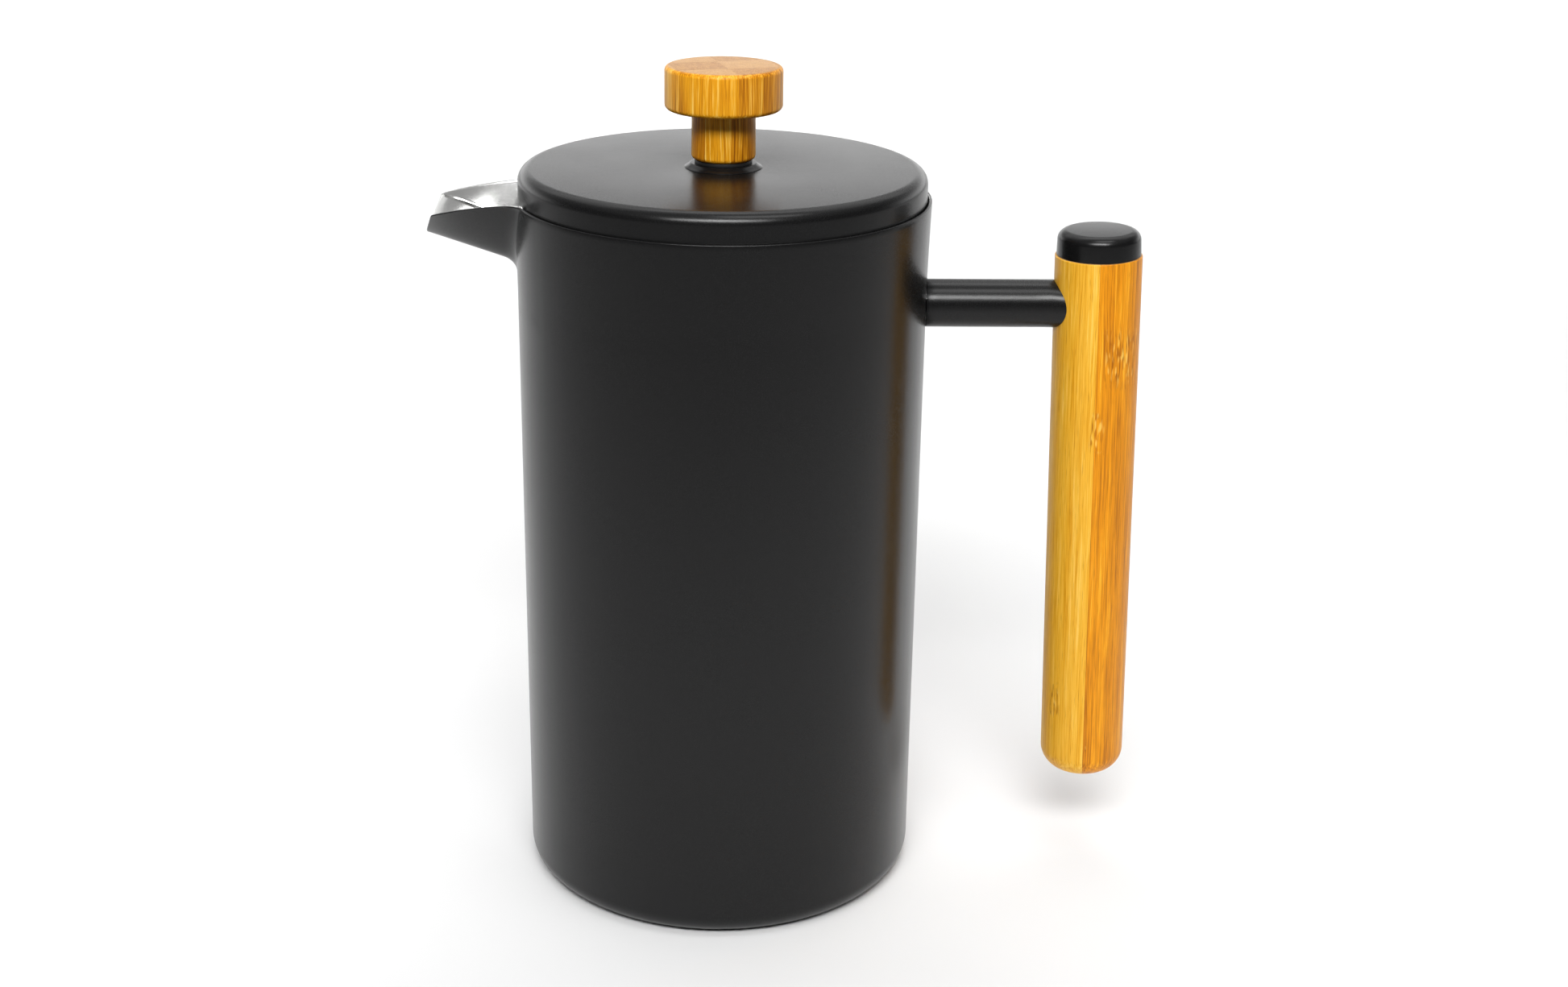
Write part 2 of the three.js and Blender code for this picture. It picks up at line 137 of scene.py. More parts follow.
class Nodes:
    """Makes shader nodes in a tree, and feeds their sockets with numbers or with other nodes' outputs."""

    def __init__(self, tree):
        self.tree = tree

    def node(self, kind, inputs=None, **settings):
        made = self.tree.nodes.new("ShaderNode" + kind)
        for key, value in settings.items():
            setattr(made, key, value)
        for key, value in (inputs or {}).items():
            self.feed(made.inputs[key], value)
        return made

    def feed(self, socket, value):
        if isinstance(value, bpy.types.NodeSocket):
            self.tree.links.new(value, socket)
        else:
            socket.default_value = value

    def split(self, vector):
        return self.node("SeparateXYZ", {"Vector": vector}).outputs

    def math(self, operation, a, b=0.0):
        return self.node("Math", {0: a, 1: b}, operation=operation).outputs[0]

    def spread(self, value, from_low, from_high, to_low=0.0, to_high=1.0, curve="LINEAR"):
        inputs = {"Value": value, "From Min": from_low, "From Max": from_high}
        inputs |= {"To Min": to_low, "To Max": to_high}
        return self.node("MapRange", inputs, interpolation_type=curve).outputs["Result"]


class Finish(Nodes):
    """A procedural material: a Principled shader and the nodes that feed it."""

    def __init__(self, name, **constants):
        self.material = bpy.data.materials.new(name)
        self.material.use_nodes = True
        super().__init__(self.material.node_tree)
        self.shader = self.tree.nodes["Principled BSDF"]
        for socket, value in constants.items():
            self.shader.inputs[socket.replace("_", " ")].default_value = value

    def to_shader(self, **sockets):
        for name, value in sockets.items():
            self.feed(self.shader.inputs[name.replace("_", " ")], value)

    def place(self):
        return self.node("TexCoord").outputs["Object"]

    def scaled(self, vector, scale, rotation=(0, 0, 0), location=(0, 0, 0)):
        inputs = {"Vector": vector, "Scale": scale, "Rotation": rotation, "Location": location}
        return self.node("Mapping", inputs).outputs["Vector"]

    def noise(self, vector, scale, detail=3.0, roughness=0.55):
        inputs = {"Vector": vector, "Scale": scale, "Detail": detail, "Roughness": roughness}
        return self.node("TexNoise", inputs).outputs["Fac"]

    def vary(self, noise, to_low=0.0, to_high=1.0):
        """Spreads the middle of a noise's range over another."""
        return self.spread(noise, *NOISE_MIDDLE, to_low, to_high)

    def vector_math(self, operation, a, second, b):
        return self.node("VectorMath", {0: a, second: b}, operation=operation).outputs["Vector"]

    def blend(self, share, a, b):
        """Two colours mixed, from a at share 0 to b at 1."""
        made = self.node("Mix", data_type="RGBA")
        for key, value in ((0, share), (6, a), (7, b)):
            self.feed(made.inputs[key], value)
        return made.outputs[2]

    def ramp(self, value, *stops):
        """A colour ramp of (position, colour) stops."""
        made = self.node("ValToRGB", {"Fac": value})
        elements = made.color_ramp.elements
        while len(elements) < len(stops):
            elements.new(0.5)
        for element, (position, colour) in zip(elements, stops):
            element.position = position
            element.color = (*colour, 1)
        return made.outputs["Color"]

    def bump(self, height, distance, strength=1.0, under=None):
        inputs = {"Height": height, "Distance": distance, "Strength": strength}
        if under is not None:
            inputs["Normal"] = under
        return self.node("Bump", inputs).outputs["Normal"]


def black_coat():
    """Satin black powder coat: a fine grain over a slow orange peel."""
    finish = Finish("black_coat", IOR=1.35)
    place = finish.place()
    grain = finish.noise(place, 5200, 2.0)
    peel = finish.noise(place, 620, 2.0)
    cloud = finish.noise(place, 45, 3.0)
    darkest, lightest = (0.004, 0.004, 0.0041, 1), (0.008, 0.008, 0.0082, 1)
    colour = finish.blend(finish.vary(grain), darkest, lightest)
    rough = finish.math("ADD", finish.vary(grain, 0.20, 0.27), finish.vary(cloud, 0.0, 0.03))
    peel_bump = finish.bump(peel, 0.00003, 0.3)
    grain_bump = finish.bump(grain, 0.00001, 0.6, peel_bump)
    finish.to_shader(Base_Color=colour, Roughness=rough, Normal=grain_bump)
    return finish.material


def steel(name, tone=0.62, rough=0.24, along=(1, 1, 40), scratch=900):
    """Brushed stainless steel. The brush lines are thinnest on the axis where along is largest."""
    finish = Finish(name, Metallic=1.0)
    place = finish.place()
    lines = finish.noise(finish.scaled(place, along), scratch, 4.0, 0.7)
    patches = finish.noise(place, 60, 3.0)
    dull = (tone, tone, tone * 0.985, 1)
    bright = (tone * 1.12, tone * 1.12, tone * 1.1, 1)
    colour = finish.blend(finish.vary(patches), dull, bright)
    brushed = finish.vary(lines, rough - 0.05, rough + 0.07)
    rough_map = finish.math("ADD", brushed, finish.vary(patches, 0.0, 0.04))
    finish.to_shader(Base_Color=colour, Roughness=rough_map, Normal=finish.bump(lines, 0.00001, 0.25))
    return finish.material


def brass():
    """Turned brass with fine lathe lines and a slight tarnish."""
    finish = Finish("brass", Metallic=1.0)
    place = finish.place()
    lines = finish.noise(finish.scaled(place, (1, 1, 30)), 700, 3.0)
    tarnish = finish.noise(place, 220, 4.0)
    clean, tarnished = (0.66, 0.47, 0.19, 1), (0.42, 0.28, 0.11, 1)
    colour = finish.blend(finish.spread(tarnish, 0.4, 0.75), clean, tarnished)
    rough = finish.vary(tarnish, 0.24, 0.42)
    finish.to_shader(Base_Color=colour, Roughness=rough, Normal=finish.bump(lines, 0.00002, 0.4))
    return finish.material


def black_plastic():
    """Moulded black nylon with a fine spark-eroded texture."""
    finish = Finish("black_plastic", IOR=1.5)
    place = finish.place()
    grain = finish.noise(place, 3800, 3.0)
    cloud = finish.noise(place, 150, 2.0)
    colour = finish.blend(cloud, (0.009, 0.009, 0.009, 1), (0.016, 0.016, 0.017, 1))
    rough = finish.vary(cloud, 0.45, 0.55)
    finish.to_shader(Base_Color=colour, Roughness=rough, Normal=finish.bump(grain, 0.00002, 0.6))
    return finish.material


def woven_steel():
    """Fine woven wire: two sets of crossing wires, as height, with painted shade in the gaps between them.
    """
    finish = Finish("woven_steel", Metallic=1.0)
    place = finish.place()
    pitch = 0.00045
    shares = finish.split(finish.scaled(place, (math.pi / pitch,) * 3))
    across = finish.math("ABSOLUTE", finish.math("SINE", shares["X"]))
    along = finish.math("ABSOLUTE", finish.math("SINE", shares["Y"]))
    wires = finish.math("MAXIMUM", across, along)
    stain = finish.noise(place, 90, 3.0)
    # The gaps between the wires are painted dark as shade, and the stain below is the wire's own uneven
    # tone.
    shaded_gaps_to_wires = finish.spread(wires, 0.35, 0.9, 0.06, 0.55)
    gap_shade_and_stain = finish.math("MULTIPLY", shaded_gaps_to_wires, finish.vary(stain, 0.85, 1.1))
    colour = finish.node("CombineColor", {"Red": gap_shade_and_stain, "Green": gap_shade_and_stain, "Blue": gap_shade_and_stain}).outputs["Color"]
    rough = finish.vary(stain, 0.3, 0.42)
    finish.to_shader(Base_Color=colour, Roughness=rough, Normal=finish.bump(wires, 0.00012, 0.8))
    return finish.material


def bamboo(name, place_by, turn, strip, tones, knuckles):
    """Laminated bamboo, its fibres along Z. place_by moves the wood's own axis onto Z. turn and strip lay
    out the glued strips, and tones has the light and the dark strips' colours. knuckles lists the cane's
    joints, which show as short flecks."""
    finish = Finish(name, IOR=1.3)
    place = finish.scaled(finish.place(), (1, 1, 1), *place_by)
    width, depth, shift_x, shift_y = strip
    across = finish.scaled(place, (1, 1, 1), (0, 0, turn), (shift_x, shift_y, 0))
    parts = finish.split(across)
    odd, moved = bamboo_strips(finish, across, parts, width, depth)
    swayed, streak, wide, fine = bamboo_fibres(finish, moved)

    light_tones, dark_tones = tones
    pale = finish.ramp(finish.spread(streak, 0.39, 0.60), *light_tones)
    deep = finish.ramp(finish.spread(streak, 0.39, 0.61), *dark_tones)
    warm = finish.blend(odd, pale, deep)
    pores = finish.noise(finish.scaled(swayed, (1, 1, 0.035)), 5200, 1.0)
    pore_mask = finish.spread(pores, 0.60, 0.74, 0.0, 0.42)
    warm = finish.blend(pore_mask, warm, PORE_COLOUR)
    warm = bamboo_knuckles(finish, warm, place, parts, swayed, knuckles)
    warm = bamboo_end_grain(finish, warm, moved, wide, odd)

    rough = finish.vary(streak, 0.34, 0.48)
    relief = finish.math("SUBTRACT", fine, finish.math("MULTIPLY", pore_mask, 0.8))
    finish.to_shader(Base_Color=warm, Roughness=rough, Normal=finish.bump(relief, 0.00005, 0.35))
    return finish.material


def bamboo_strips(finish, across, parts, width, depth):
    """Whether a point is in an odd strip, and the point moved by its own strip's random offset."""
    column = finish.math("FLOOR", finish.math("DIVIDE", parts["X"], width))
    layer = finish.math("FLOOR", finish.math("DIVIDE", parts["Y"], depth))
    odd = finish.math("ABSOLUTE", finish.math("MODULO", finish.math("ADD", column, layer), 2.0))
    cell = finish.node("CombineXYZ", {"X": column, "Y": layer}).outputs["Vector"]
    chance = finish.node("TexWhiteNoise", {"Vector": cell}, noise_dimensions="3D").outputs["Color"]
    offset = finish.vector_math("SCALE", chance, "Scale", 0.5)
    return odd, finish.vector_math("ADD", across, 1, offset)


def bamboo_fibres(finish, moved):
    """The swaying place that the fibres follow, the streaks, and the wide and the fine noise in them."""
    wander = finish.noise(finish.scaled(moved, (1, 1, 0.3)), 60, 2.0)
    sway = finish.node("CombineXYZ", {"X": finish.spread(wander, 0, 1, -0.0008, 0.0008)})
    swayed = finish.vector_math("ADD", moved, 1, sway.outputs["Vector"])
    fibres = finish.scaled(swayed, (1, 1, 0.02))
    broad = finish.noise(fibres, 210, 2.0, 0.5)
    wide = finish.noise(fibres, 640, 3.0, 0.6)
    fine = finish.noise(fibres, 2600, 3.0, 0.65)
    streak = finish.math("ADD", finish.math("MULTIPLY", wide, 0.3), finish.math("MULTIPLY", fine, 0.5))
    streak = finish.math("ADD", streak, finish.math("MULTIPLY", broad, 0.2))
    return swayed, streak, wide, fine


def bamboo_knuckles(finish, warm, place, parts, swayed, knuckles):
    """The colour with dark and bright flecks where the cane's joints were."""
    height = finish.split(place)["Z"]
    wave = finish.spread(finish.noise(place, 260, 2.0), 0.2, 0.8, -0.004, 0.004)
    flecks = finish.noise(finish.scaled(swayed, (1, 1, 0.13)), 1700, 0.6, 0.5)
    glints = finish.noise(finish.scaled(swayed, (1, 1, 0.2)), 1500, 0.4, 0.5)
    for x, z, half_width, half_height, side in knuckles:
        off_x = finish.math("DIVIDE", finish.math("SUBTRACT", parts["X"], x), half_width)
        rise = finish.math("SUBTRACT", finish.math("ADD", height, wave), z)
        off_z = finish.math("DIVIDE", rise, half_height)
        off = finish.math("MAXIMUM", finish.math("ABSOLUTE", off_x), finish.math("ABSOLUTE", off_z))
        inside = finish.spread(off, 0.45, 1.05, 1.0, 0.0)
        where = finish.spread(finish.math("MULTIPLY", parts["Y"], side), -0.001, 0.001, 0.0, 1.0)
        mask = finish.math("MULTIPLY", inside, where)
        dark = finish.math("MULTIPLY", mask, finish.spread(flecks, 0.48, 0.66, 0.0, 1.0))
        warm = finish.blend(dark, warm, FLECK_COLOUR)
        bright = finish.math("MULTIPLY", mask, finish.spread(glints, 0.56, 0.72, 0.0, 0.7))
        warm = finish.blend(bright, warm, GLINT_COLOUR)
    return warm


def bamboo_end_grain(finish, warm, moved, wide, odd):
    """The colour with the fibres' cut ends, paler and dotted, on faces square to them."""
    facing = finish.split(finish.node("TexCoord").outputs["Normal"])["Z"]
    end_grain = finish.spread(finish.math("ABSOLUTE", facing), 0.86, 0.99, 0.0, 0.95)
    ends = finish.math("MULTIPLY", finish.noise(moved, 3400, 2.0, 0.6), 0.7)
    dots = finish.math("ADD", ends, finish.math("MULTIPLY", wide, 0.3))
    dots = finish.math("SUBTRACT", dots, finish.math("MULTIPLY", odd, 0.08))
    cut = finish.ramp(finish.spread(dots, 0.34, 0.62), *END_GRAIN)
    return finish.blend(end_grain, warm, cut)


# The colours of bamboo strips along a streak, from dark to light.
PALE_STRIP = (
    (0.0, (0.70, 0.30, 0.008)),
    (0.35, (0.82, 0.40, 0.022)),
    (0.7, (0.88, 0.48, 0.045)),
    (1.0, (0.95, 0.57, 0.095)),
)
AMBER_STRIP = (
    (0.0, (0.40, 0.12, 0.003)),
    (0.4, (0.69, 0.245, 0.004)),
    (0.75, (0.83, 0.325, 0.006)),
    (1.0, (0.93, 0.46, 0.03)),
)
KNOB_STRIP = (
    (0.0, (0.44, 0.15, 0.003)),
    (0.35, (0.70, 0.275, 0.004)),
    (0.65, (0.84, 0.38, 0.012)),
    (1.0, (0.97, 0.62, 0.13)),
)
DARK_STRIP = (
    (0.0, (0.24, 0.07, 0.002)),
    (0.35, (0.52, 0.18, 0.003)),
    (0.65, (0.74, 0.31, 0.010)),
    (1.0, (0.93, 0.55, 0.10)),
)
END_GRAIN = (
    (0.0, (0.36, 0.165, 0.050)),
    (0.45, (0.52, 0.275, 0.100)),
    (1.0, (0.64, 0.41, 0.19)),
)
PORE_COLOUR = (0.34, 0.11, 0.004, 1)
FLECK_COLOUR = (0.36, 0.105, 0.003, 1)
GLINT_COLOUR = (0.98, 0.62, 0.12, 1)

# Where the cane's joints show on the grip, in metres: (x, z, half width, half height, side).
GRIP_KNUCKLES = (
    (0.0062, -0.0125, 0.0050, 0.0075, -1),
    (0.0006, -0.0330, 0.0022, 0.0060, -1),
    (-0.0085, -0.1140, 0.0016, 0.0060, -1),
    (0.0010, -0.1275, 0.0008, 0.0016, -1),
    (-0.0040, -0.0640, 0.0060, 0.0070, 1),
    (0.0050, -0.1180, 0.0050, 0.0070, 1),
)

# How the strips lie across the section: the turn, then (width, depth, shift x, shift y) in metres.
GRIP_TURN = 0.183
GRIP_STRIPS = (0.0125, 0.0125, -0.0006, 0.0)
KNOB_TURN = -0.25
KNOB_STRIPS = (0.0135, 0.0115, 0.0002, 0.0054)

BLACK = black_coat()
STEEL = steel("brushed_steel")
POLISHED = steel("polished_steel", tone=0.66, rough=0.13, along=(1, 1, 5), scratch=1500)
INSIDE = steel("vessel_steel", tone=0.70, rough=0.38, along=(1, 1, 12))
SPRING = steel("spring_wire", tone=0.58, rough=0.2, along=(30, 30, 1), scratch=300)
BRASS = brass()
PLASTIC = black_plastic()
WEAVE = woven_steel()

TO_GRIP = GRIP_PLACE.inverted()
GRIP_AXIS = (tuple(TO_GRIP.to_euler()), tuple(TO_GRIP.translation))
KNOB_AXIS = ((0, 0, 0), (0, 0, 0))
GRIP_TONES = (PALE_STRIP, AMBER_STRIP)
KNOB_TONES = (KNOB_STRIP, DARK_STRIP)
GRIP_BAMBOO = bamboo("grip_bamboo", GRIP_AXIS, GRIP_TURN, GRIP_STRIPS, GRIP_TONES, GRIP_KNUCKLES)
KNOB_BAMBOO = bamboo("knob_bamboo", KNOB_AXIS, KNOB_TURN, KNOB_STRIPS, KNOB_TONES, ())

# ---- Meshes ----


def add_mesh(name, mesh, body, finishes, replaced=(), sharp=35):
    """A piece from a mesh in metres: smooth-shaded but for its sharp edges, riding on its body."""
    for finish in finishes:
        mesh.materials.append(finish)
    mesh.polygons.foreach_set("use_smooth", [True] * len(mesh.polygons))
    mesh.set_sharp_from_angle(angle=math.radians(sharp))
    piece = bpy.data.objects.new(name, mesh)
    bpy.context.scene.collection.objects.link(piece)
    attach(piece, body)
    if replaced:
        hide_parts(*replaced)
    return piece


# Points closer than this, in metres, become one.
WELD = 2e-6

# No two faces of a mesh lie equally far this way.
SORT_WAY = Vector((1.0, 31.7, 977.3))


class Sheets:
    """Grids of points in millimetres, welded into one mesh."""

    def __init__(self):
        self.points = []
        self.faces = []
        self.finishes = []

    def grid(self, points, finish=0, closed=False):
        """points[i][j]: i runs across and j along. closed joins the last row across to the first."""
        points = np.asarray(points, float)
        across, along = points.shape[:2]
        start = len(self.points)
        self.points.extend(points.reshape(-1, 3).tolist())
        for i in range(across if closed else across - 1):
            ahead = (i + 1) % across
            for j in range(along - 1):
                a, b = start + i * along + j, start + ahead * along + j
                self.faces.append((a, b, b + 1, a + 1))
                self.finishes.append(finish)

    def fan(self, ring, centre, finish=0):
        start = len(self.points)
        self.points.extend([list(p) for p in ring] + [list(centre)])
        count = len(ring)
        for i in range(count):
            self.faces.append((start + i, start + (i + 1) % count, start + count))
            self.finishes.append(finish)

    def mesh(self, name, thickness=0.0, place=None):
        """The welded mesh in metres. thickness, in millimetres, thickens an open sheet."""
        made = bpy.data.meshes.new(name)
        made.from_pydata((np.array(self.points) * MM).tolist(), [], self.faces)
        made.polygons.foreach_set("material_index", self.finishes)
        work = bmesh.new()
        work.from_mesh(made)
        bmesh.ops.remove_doubles(work, verts=work.verts, dist=WELD)
        bmesh.ops.dissolve_degenerate(work, edges=work.edges, dist=WELD / 2)
        bmesh.ops.recalc_face_normals(work, faces=work.faces)
        if thickness:
            bmesh.ops.solidify(work, geom=work.faces[:], thickness=thickness * MM)
            bmesh.ops.recalc_face_normals(work, faces=work.faces)
            # The new faces come in any order, so all are put in one that is the same each run.
            work.verts.sort(key=lambda vert: vert.co.dot(SORT_WAY))
            work.faces.sort(key=lambda face: face.calc_center_median().dot(SORT_WAY))
        if place is not None:
            bmesh.ops.transform(work, matrix=place, verts=work.verts)
        work.to_mesh(made)
        work.free()
        return made


def rounded(corners, steps=7, closed=False):
    """(radius, height) points from (radius, height, fillet) corners, each rounded by its fillet."""
    count = len(corners)
    profile = []
    for i, (r, z, fillet) in enumerate(corners):
        corner = np.array([r, z], float)
        if not fillet or (not closed and i in (0, count - 1)):
            profile.append(corner)
            continue
        before = np.array(corners[i - 1][:2], float) - corner
        after = np.array(corners[(i + 1) % count][:2], float) - corner
        before /= np.linalg.norm(before)
        after /= np.linalg.norm(after)
        half = math.acos(np.clip(before @ after, -1, 1)) / 2
        middle = (before + after) / np.linalg.norm(before + after)
        centre = corner + middle * fillet / math.sin(half)
        first = corner + before * fillet / math.tan(half) - centre
        last = corner + after * fillet / math.tan(half) - centre
        sweep = math.pi - 2 * half
        for k in range(steps + 1):
            share = k / steps
            mixed = math.sin((1 - share) * sweep) * first + math.sin(share * sweep) * last
            profile.append(centre + mixed / math.sin(sweep))
    return profile


def turned(name, profile, steps=ROUND, place=None):
    """A closed (radius, height) profile turned about Z."""
    path = [*profile, profile[0]]
    angles = np.linspace(0, 2 * math.pi, steps, endpoint=False)
    sheets = Sheets()
    sheets.grid([[(r * math.cos(a), r * math.sin(a), z) for r, z in path] for a in angles], closed=True)
    return sheets.mesh(name, place=place)


def add_turned(name, profile, body, finish, node, steps=ROUND, place=None):
    """A turned piece, which stands for one CAD node."""
    add_mesh(name, turned(name, profile, steps, place), body, [finish], (node,))


def ring_profile(inner, outer, bottom, top, fillet):
    corners = [(inner, bottom), (outer, bottom), (outer, top), (inner, top)]
    return rounded([(r, z, fillet) for r, z in corners], 4, True)


def plate(name, outlines, bottom, top, bevel):
    """A flat plate: the first outline is its edge, and the rest are holes, each a list of (x, y)."""
    curve = bpy.data.curves.new(name, "CURVE")
    curve.dimensions = "2D"
    curve.fill_mode = "BOTH"
    for outline in outlines:
        spline = curve.splines.new("POLY")
        spline.points.add(len(outline) - 1)
        for point, (x, y) in zip(spline.points, outline):
            point.co = (x * MM, y * MM, 0, 1)
        spline.use_cyclic_u = True
    curve.extrude = ((top - bottom) / 2 - bevel) * MM
    curve.bevel_depth = bevel * MM
    curve.offset = -bevel * MM
    holder = bpy.data.objects.new(name, curve)
    mesh = bpy.data.meshes.new_from_object(holder)
    bpy.data.objects.remove(holder)
    work = bmesh.new()
    work.from_mesh(mesh)
    bmesh.ops.remove_doubles(work, verts=work.verts, dist=WELD / 2)
    bmesh.ops.recalc_face_normals(work, faces=work.faces)
    bmesh.ops.translate(work, verts=work.verts, vec=(0, 0, (top + bottom) / 2 * MM))
    work.to_mesh(mesh)
    work.free()
    return mesh


def add_plate(name, outlines, bottom, top, bevel, body, node, sharp):
    """A steel plate, which stands for one CAD node."""
    add_mesh(name, plate(name, outlines, bottom, top, bevel), body, [STEEL], (node,), sharp)


def circle(radius, steps, x=0.0, y=0.0, turn=0.0):
    """Points round a circle, or the corners of a regular shape."""
    angles = [turn + 2 * math.pi * k / steps for k in range(steps)]
    return [(x + radius * math.cos(a), y + radius * math.sin(a)) for a in angles]


def hole_row(count, radius, pitch_radius, turn=0.0):
    """The outlines of holes spaced round a circle."""
    centres = circle(pitch_radius, count, turn=turn)
    return [circle(radius, 32, x, y) for x, y in centres]


# ---- The pot's walls and spout ----

# The window is the part of the wall round the spout that is made as one patch with it.
WINDOW_HALF = math.radians(32)
WINDOW_LOW_Z = 160.0
WINDOW_COLUMNS = 40
OTHER_COLUMNS = 185
WINDOW_ROWS = 24
BAND_ROWS = 8
FILLET_ROWS = 9
TROUGH_ROWS = 26
SETTLE_ROWS = 3


def shell_radius(z):
    """The outer wall's radius, which flares a little towards the rim."""
    climb = np.clip((z - RIM_Z + FLARE_HEIGHT) / FLARE_HEIGHT, 0, 1)
    return SHELL_RADIUS + (MOUTH_RADIUS - SHELL_RADIUS) * climb**1.4


def trough_point(share, along, inset, is_liner=False):
    """A point of the spout's sheet, inset from its outer face. share runs across from -1 to 1, and along
    from 0 at the lip to 1 at the root. The liner has a rounder keel, stops short of the rim, and stays
    below the lid's seat where it is inside the mouth."""
    keel = LINER_KEEL if is_liner else KEEL
    reach = math.hypot(1, keel) - keel
    half = LIP_HALF_WIDTH + (ROOT_HALF_WIDTH - LIP_HALF_WIDTH) * along - inset
    keel_z = TIP_Z + (ROOT_Z - TIP_Z) * along + inset
    lip_z = TIP_Z + LIP_HEIGHT
    rim_z = lip_z + (RIM_Z - TIP_Z - LIP_HEIGHT) * along + 4 * along * (1 - along) * RIM_CROWN
    if is_liner:
        keel_z = keel_z + LINER_LIFT * (rim_z - keel_z)
        x_keel = TIP_X + (ROOT_X - TIP_X) * along
        inside = np.clip((MOUTH_RADIUS - 0.4 - np.hypot(x_keel, half)) / 0.8, 0, 1)
        free_z = rim_z - LINER_DROP
        top_z = free_z + (np.minimum(SEAT_Z, free_z) - free_z) * inside
        rise_limit = np.clip((top_z - keel_z) / (rim_z - keel_z), 0, 1)
        share = share * np.sqrt((rise_limit * reach + keel) ** 2 - keel**2)
    rise = (np.hypot(share, keel) - keel) / reach
    x = (TIP_X + LIP_RAKE * rise) * (1 - along) + ROOT_X * along
    return np.stack([x, half * share, keel_z + (rim_z - keel_z) * rise], axis=-1)


def spout_patch(radius_at, inset, top_z, wall_reach, spout_reach, front, is_liner=False):
    """The wall's window round the spout, the fillet and the trough, as one grid from the window's edge to
    the front. Its first index runs across the spout. The fillet reaches wall_reach and spout_reach out."""
    count = 2 * WINDOW_ROWS + WINDOW_COLUMNS
    share = np.linspace(-1, 1, count + 1)
    # Halving finds where each line of the trough meets the wall.
    near, far = np.zeros(count + 1), np.full(count + 1, 1.5)
    for _ in range(40):
        middle = (near + far) / 2
        point = trough_point(share, middle, inset, is_liner)
        outside = np.hypot(point[:, 0], point[:, 1]) > radius_at(point[:, 2])
        near, far = np.where(outside, middle, near), np.where(outside, far, middle)
    meet_along = (near + far) / 2
    meet = trough_point(share, meet_along, inset, is_liner)
    length = abs(ROOT_X - TIP_X)
    leave_along = meet_along - spout_reach / length
    leave = trough_point(share, leave_along, inset, is_liner)

    # The fillet ends on the wall off to the side at the rims, and straight down at the keel.
    lean = math.pi / 2 * np.sign(share) * np.abs(share) ** 0.85
    meet_angle = np.arctan2(meet[:, 1], -meet[:, 0])
    end_angle = meet_angle + wall_reach * np.sin(lean) / SHELL_RADIUS
    end_z = meet[:, 2] - wall_reach * np.cos(lean) + (top_z - meet[:, 2]) * np.abs(share) ** 10
    edge_angle = np.concatenate([
        np.full(WINDOW_ROWS, -WINDOW_HALF),
        np.linspace(-WINDOW_HALF, WINDOW_HALF, WINDOW_COLUMNS + 1),
        np.full(WINDOW_ROWS, WINDOW_HALF),
    ])
    down = np.linspace(top_z, WINDOW_LOW_Z, WINDOW_ROWS + 1)
    edge_z = np.concatenate([down[:-1], np.full(WINDOW_COLUMNS + 1, WINDOW_LOW_Z), down[::-1][1:]])

    def on_wall(angle, z):
        radius = radius_at(z)
        return np.stack([-radius * np.cos(angle), radius * np.sin(angle), z], axis=-1)

    rows = []
    for k in range(BAND_ROWS):
        step = (k / BAND_ROWS) ** 0.8
        angle = edge_angle + (end_angle - edge_angle) * step
        rows.append(on_wall(angle, edge_z + (end_z - edge_z) * step))
    end = on_wall(end_angle, end_z)
    beyond = on_wall(end_angle - 0.01 * np.sin(lean), end_z + 0.01 * SHELL_RADIUS * np.cos(lean))
    wall_way = (beyond - end) / np.linalg.norm(beyond - end, axis=1, keepdims=True)
    spout_way = (meet - leave) / np.linalg.norm(meet - leave, axis=1, keepdims=True)
    handle_a = end + wall_way * wall_reach * 0.6
    handle_b = leave + spout_way * np.linalg.norm(meet - leave, axis=1, keepdims=True) * 0.6
    for k in range(FILLET_ROWS + 1):
        u = k / FILLET_ROWS
        ends = (1 - u) ** 3 * end, u**3 * leave
        handles = 3 * u * (1 - u) ** 2 * handle_a, 3 * u**2 * (1 - u) * handle_b
        rows.append(ends[0] + handles[0] + handles[1] + ends[1])
    front_along = front(share)
    for k in range(1, TROUGH_ROWS + 1):
        along = leave_along + (front_along - leave_along) * k / TROUGH_ROWS
        settle = LINER_SETTLE * max(0, 1 - (TROUGH_ROWS - k) / SETTLE_ROWS) ** 2 if is_liner else 0
        rows.append(trough_point(share, along, inset - settle, is_liner))
    return np.stack(rows, axis=1)


def inner_face(outside, radius_at):
    """The inner face of the spout's patch: square to the wall and its fillet, and inset as the trough is.
    Its outermost line is the inner wall's own, so that the two weld."""
    across, along = outside.shape[:2]
    share = np.linspace(-1, 1, across)[:, None]
    steps_across = np.gradient(outside, axis=0)
    steps_along = np.gradient(outside, axis=1)
    normal = np.cross(steps_across, steps_along)
    normal /= np.linalg.norm(normal, axis=2, keepdims=True)
    normal *= np.sign((normal * outside * [1, 1, 0]).sum(axis=2).mean())
    normal[..., 2] *= 1 - np.abs(share) ** 4
    rise = (np.hypot(share, KEEL) - KEEL) / (math.hypot(1, KEEL) - KEEL)
    trough = np.stack([0 * share, -share, 1 - rise], axis=2) * SHEET
    place = np.arange(along) - BAND_ROWS
    blend = np.clip(place / FILLET_ROWS, 0, 1)[None, :, None]
    inside = outside + (1 - blend) * -normal * SHEET + blend * trough
    edge = outside[:, 0]
    edge_radius = radius_at(edge[:, 2]) / np.hypot(edge[:, 0], edge[:, 1])
    inside[:, 0] = edge * np.stack([edge_radius, edge_radius, np.ones_like(edge_radius)], axis=1)
    for rim in (0, -1):
        inside[rim, : BAND_ROWS + FILLET_ROWS, 2] = outside[rim, : BAND_ROWS + FILLET_ROWS, 2]
    return inside


def wall_columns():
    """Angles round the pot from the window's one side to its other, the long way round."""
    return np.linspace(WINDOW_HALF, 2 * math.pi - WINDOW_HALF, OTHER_COLUMNS + 1)


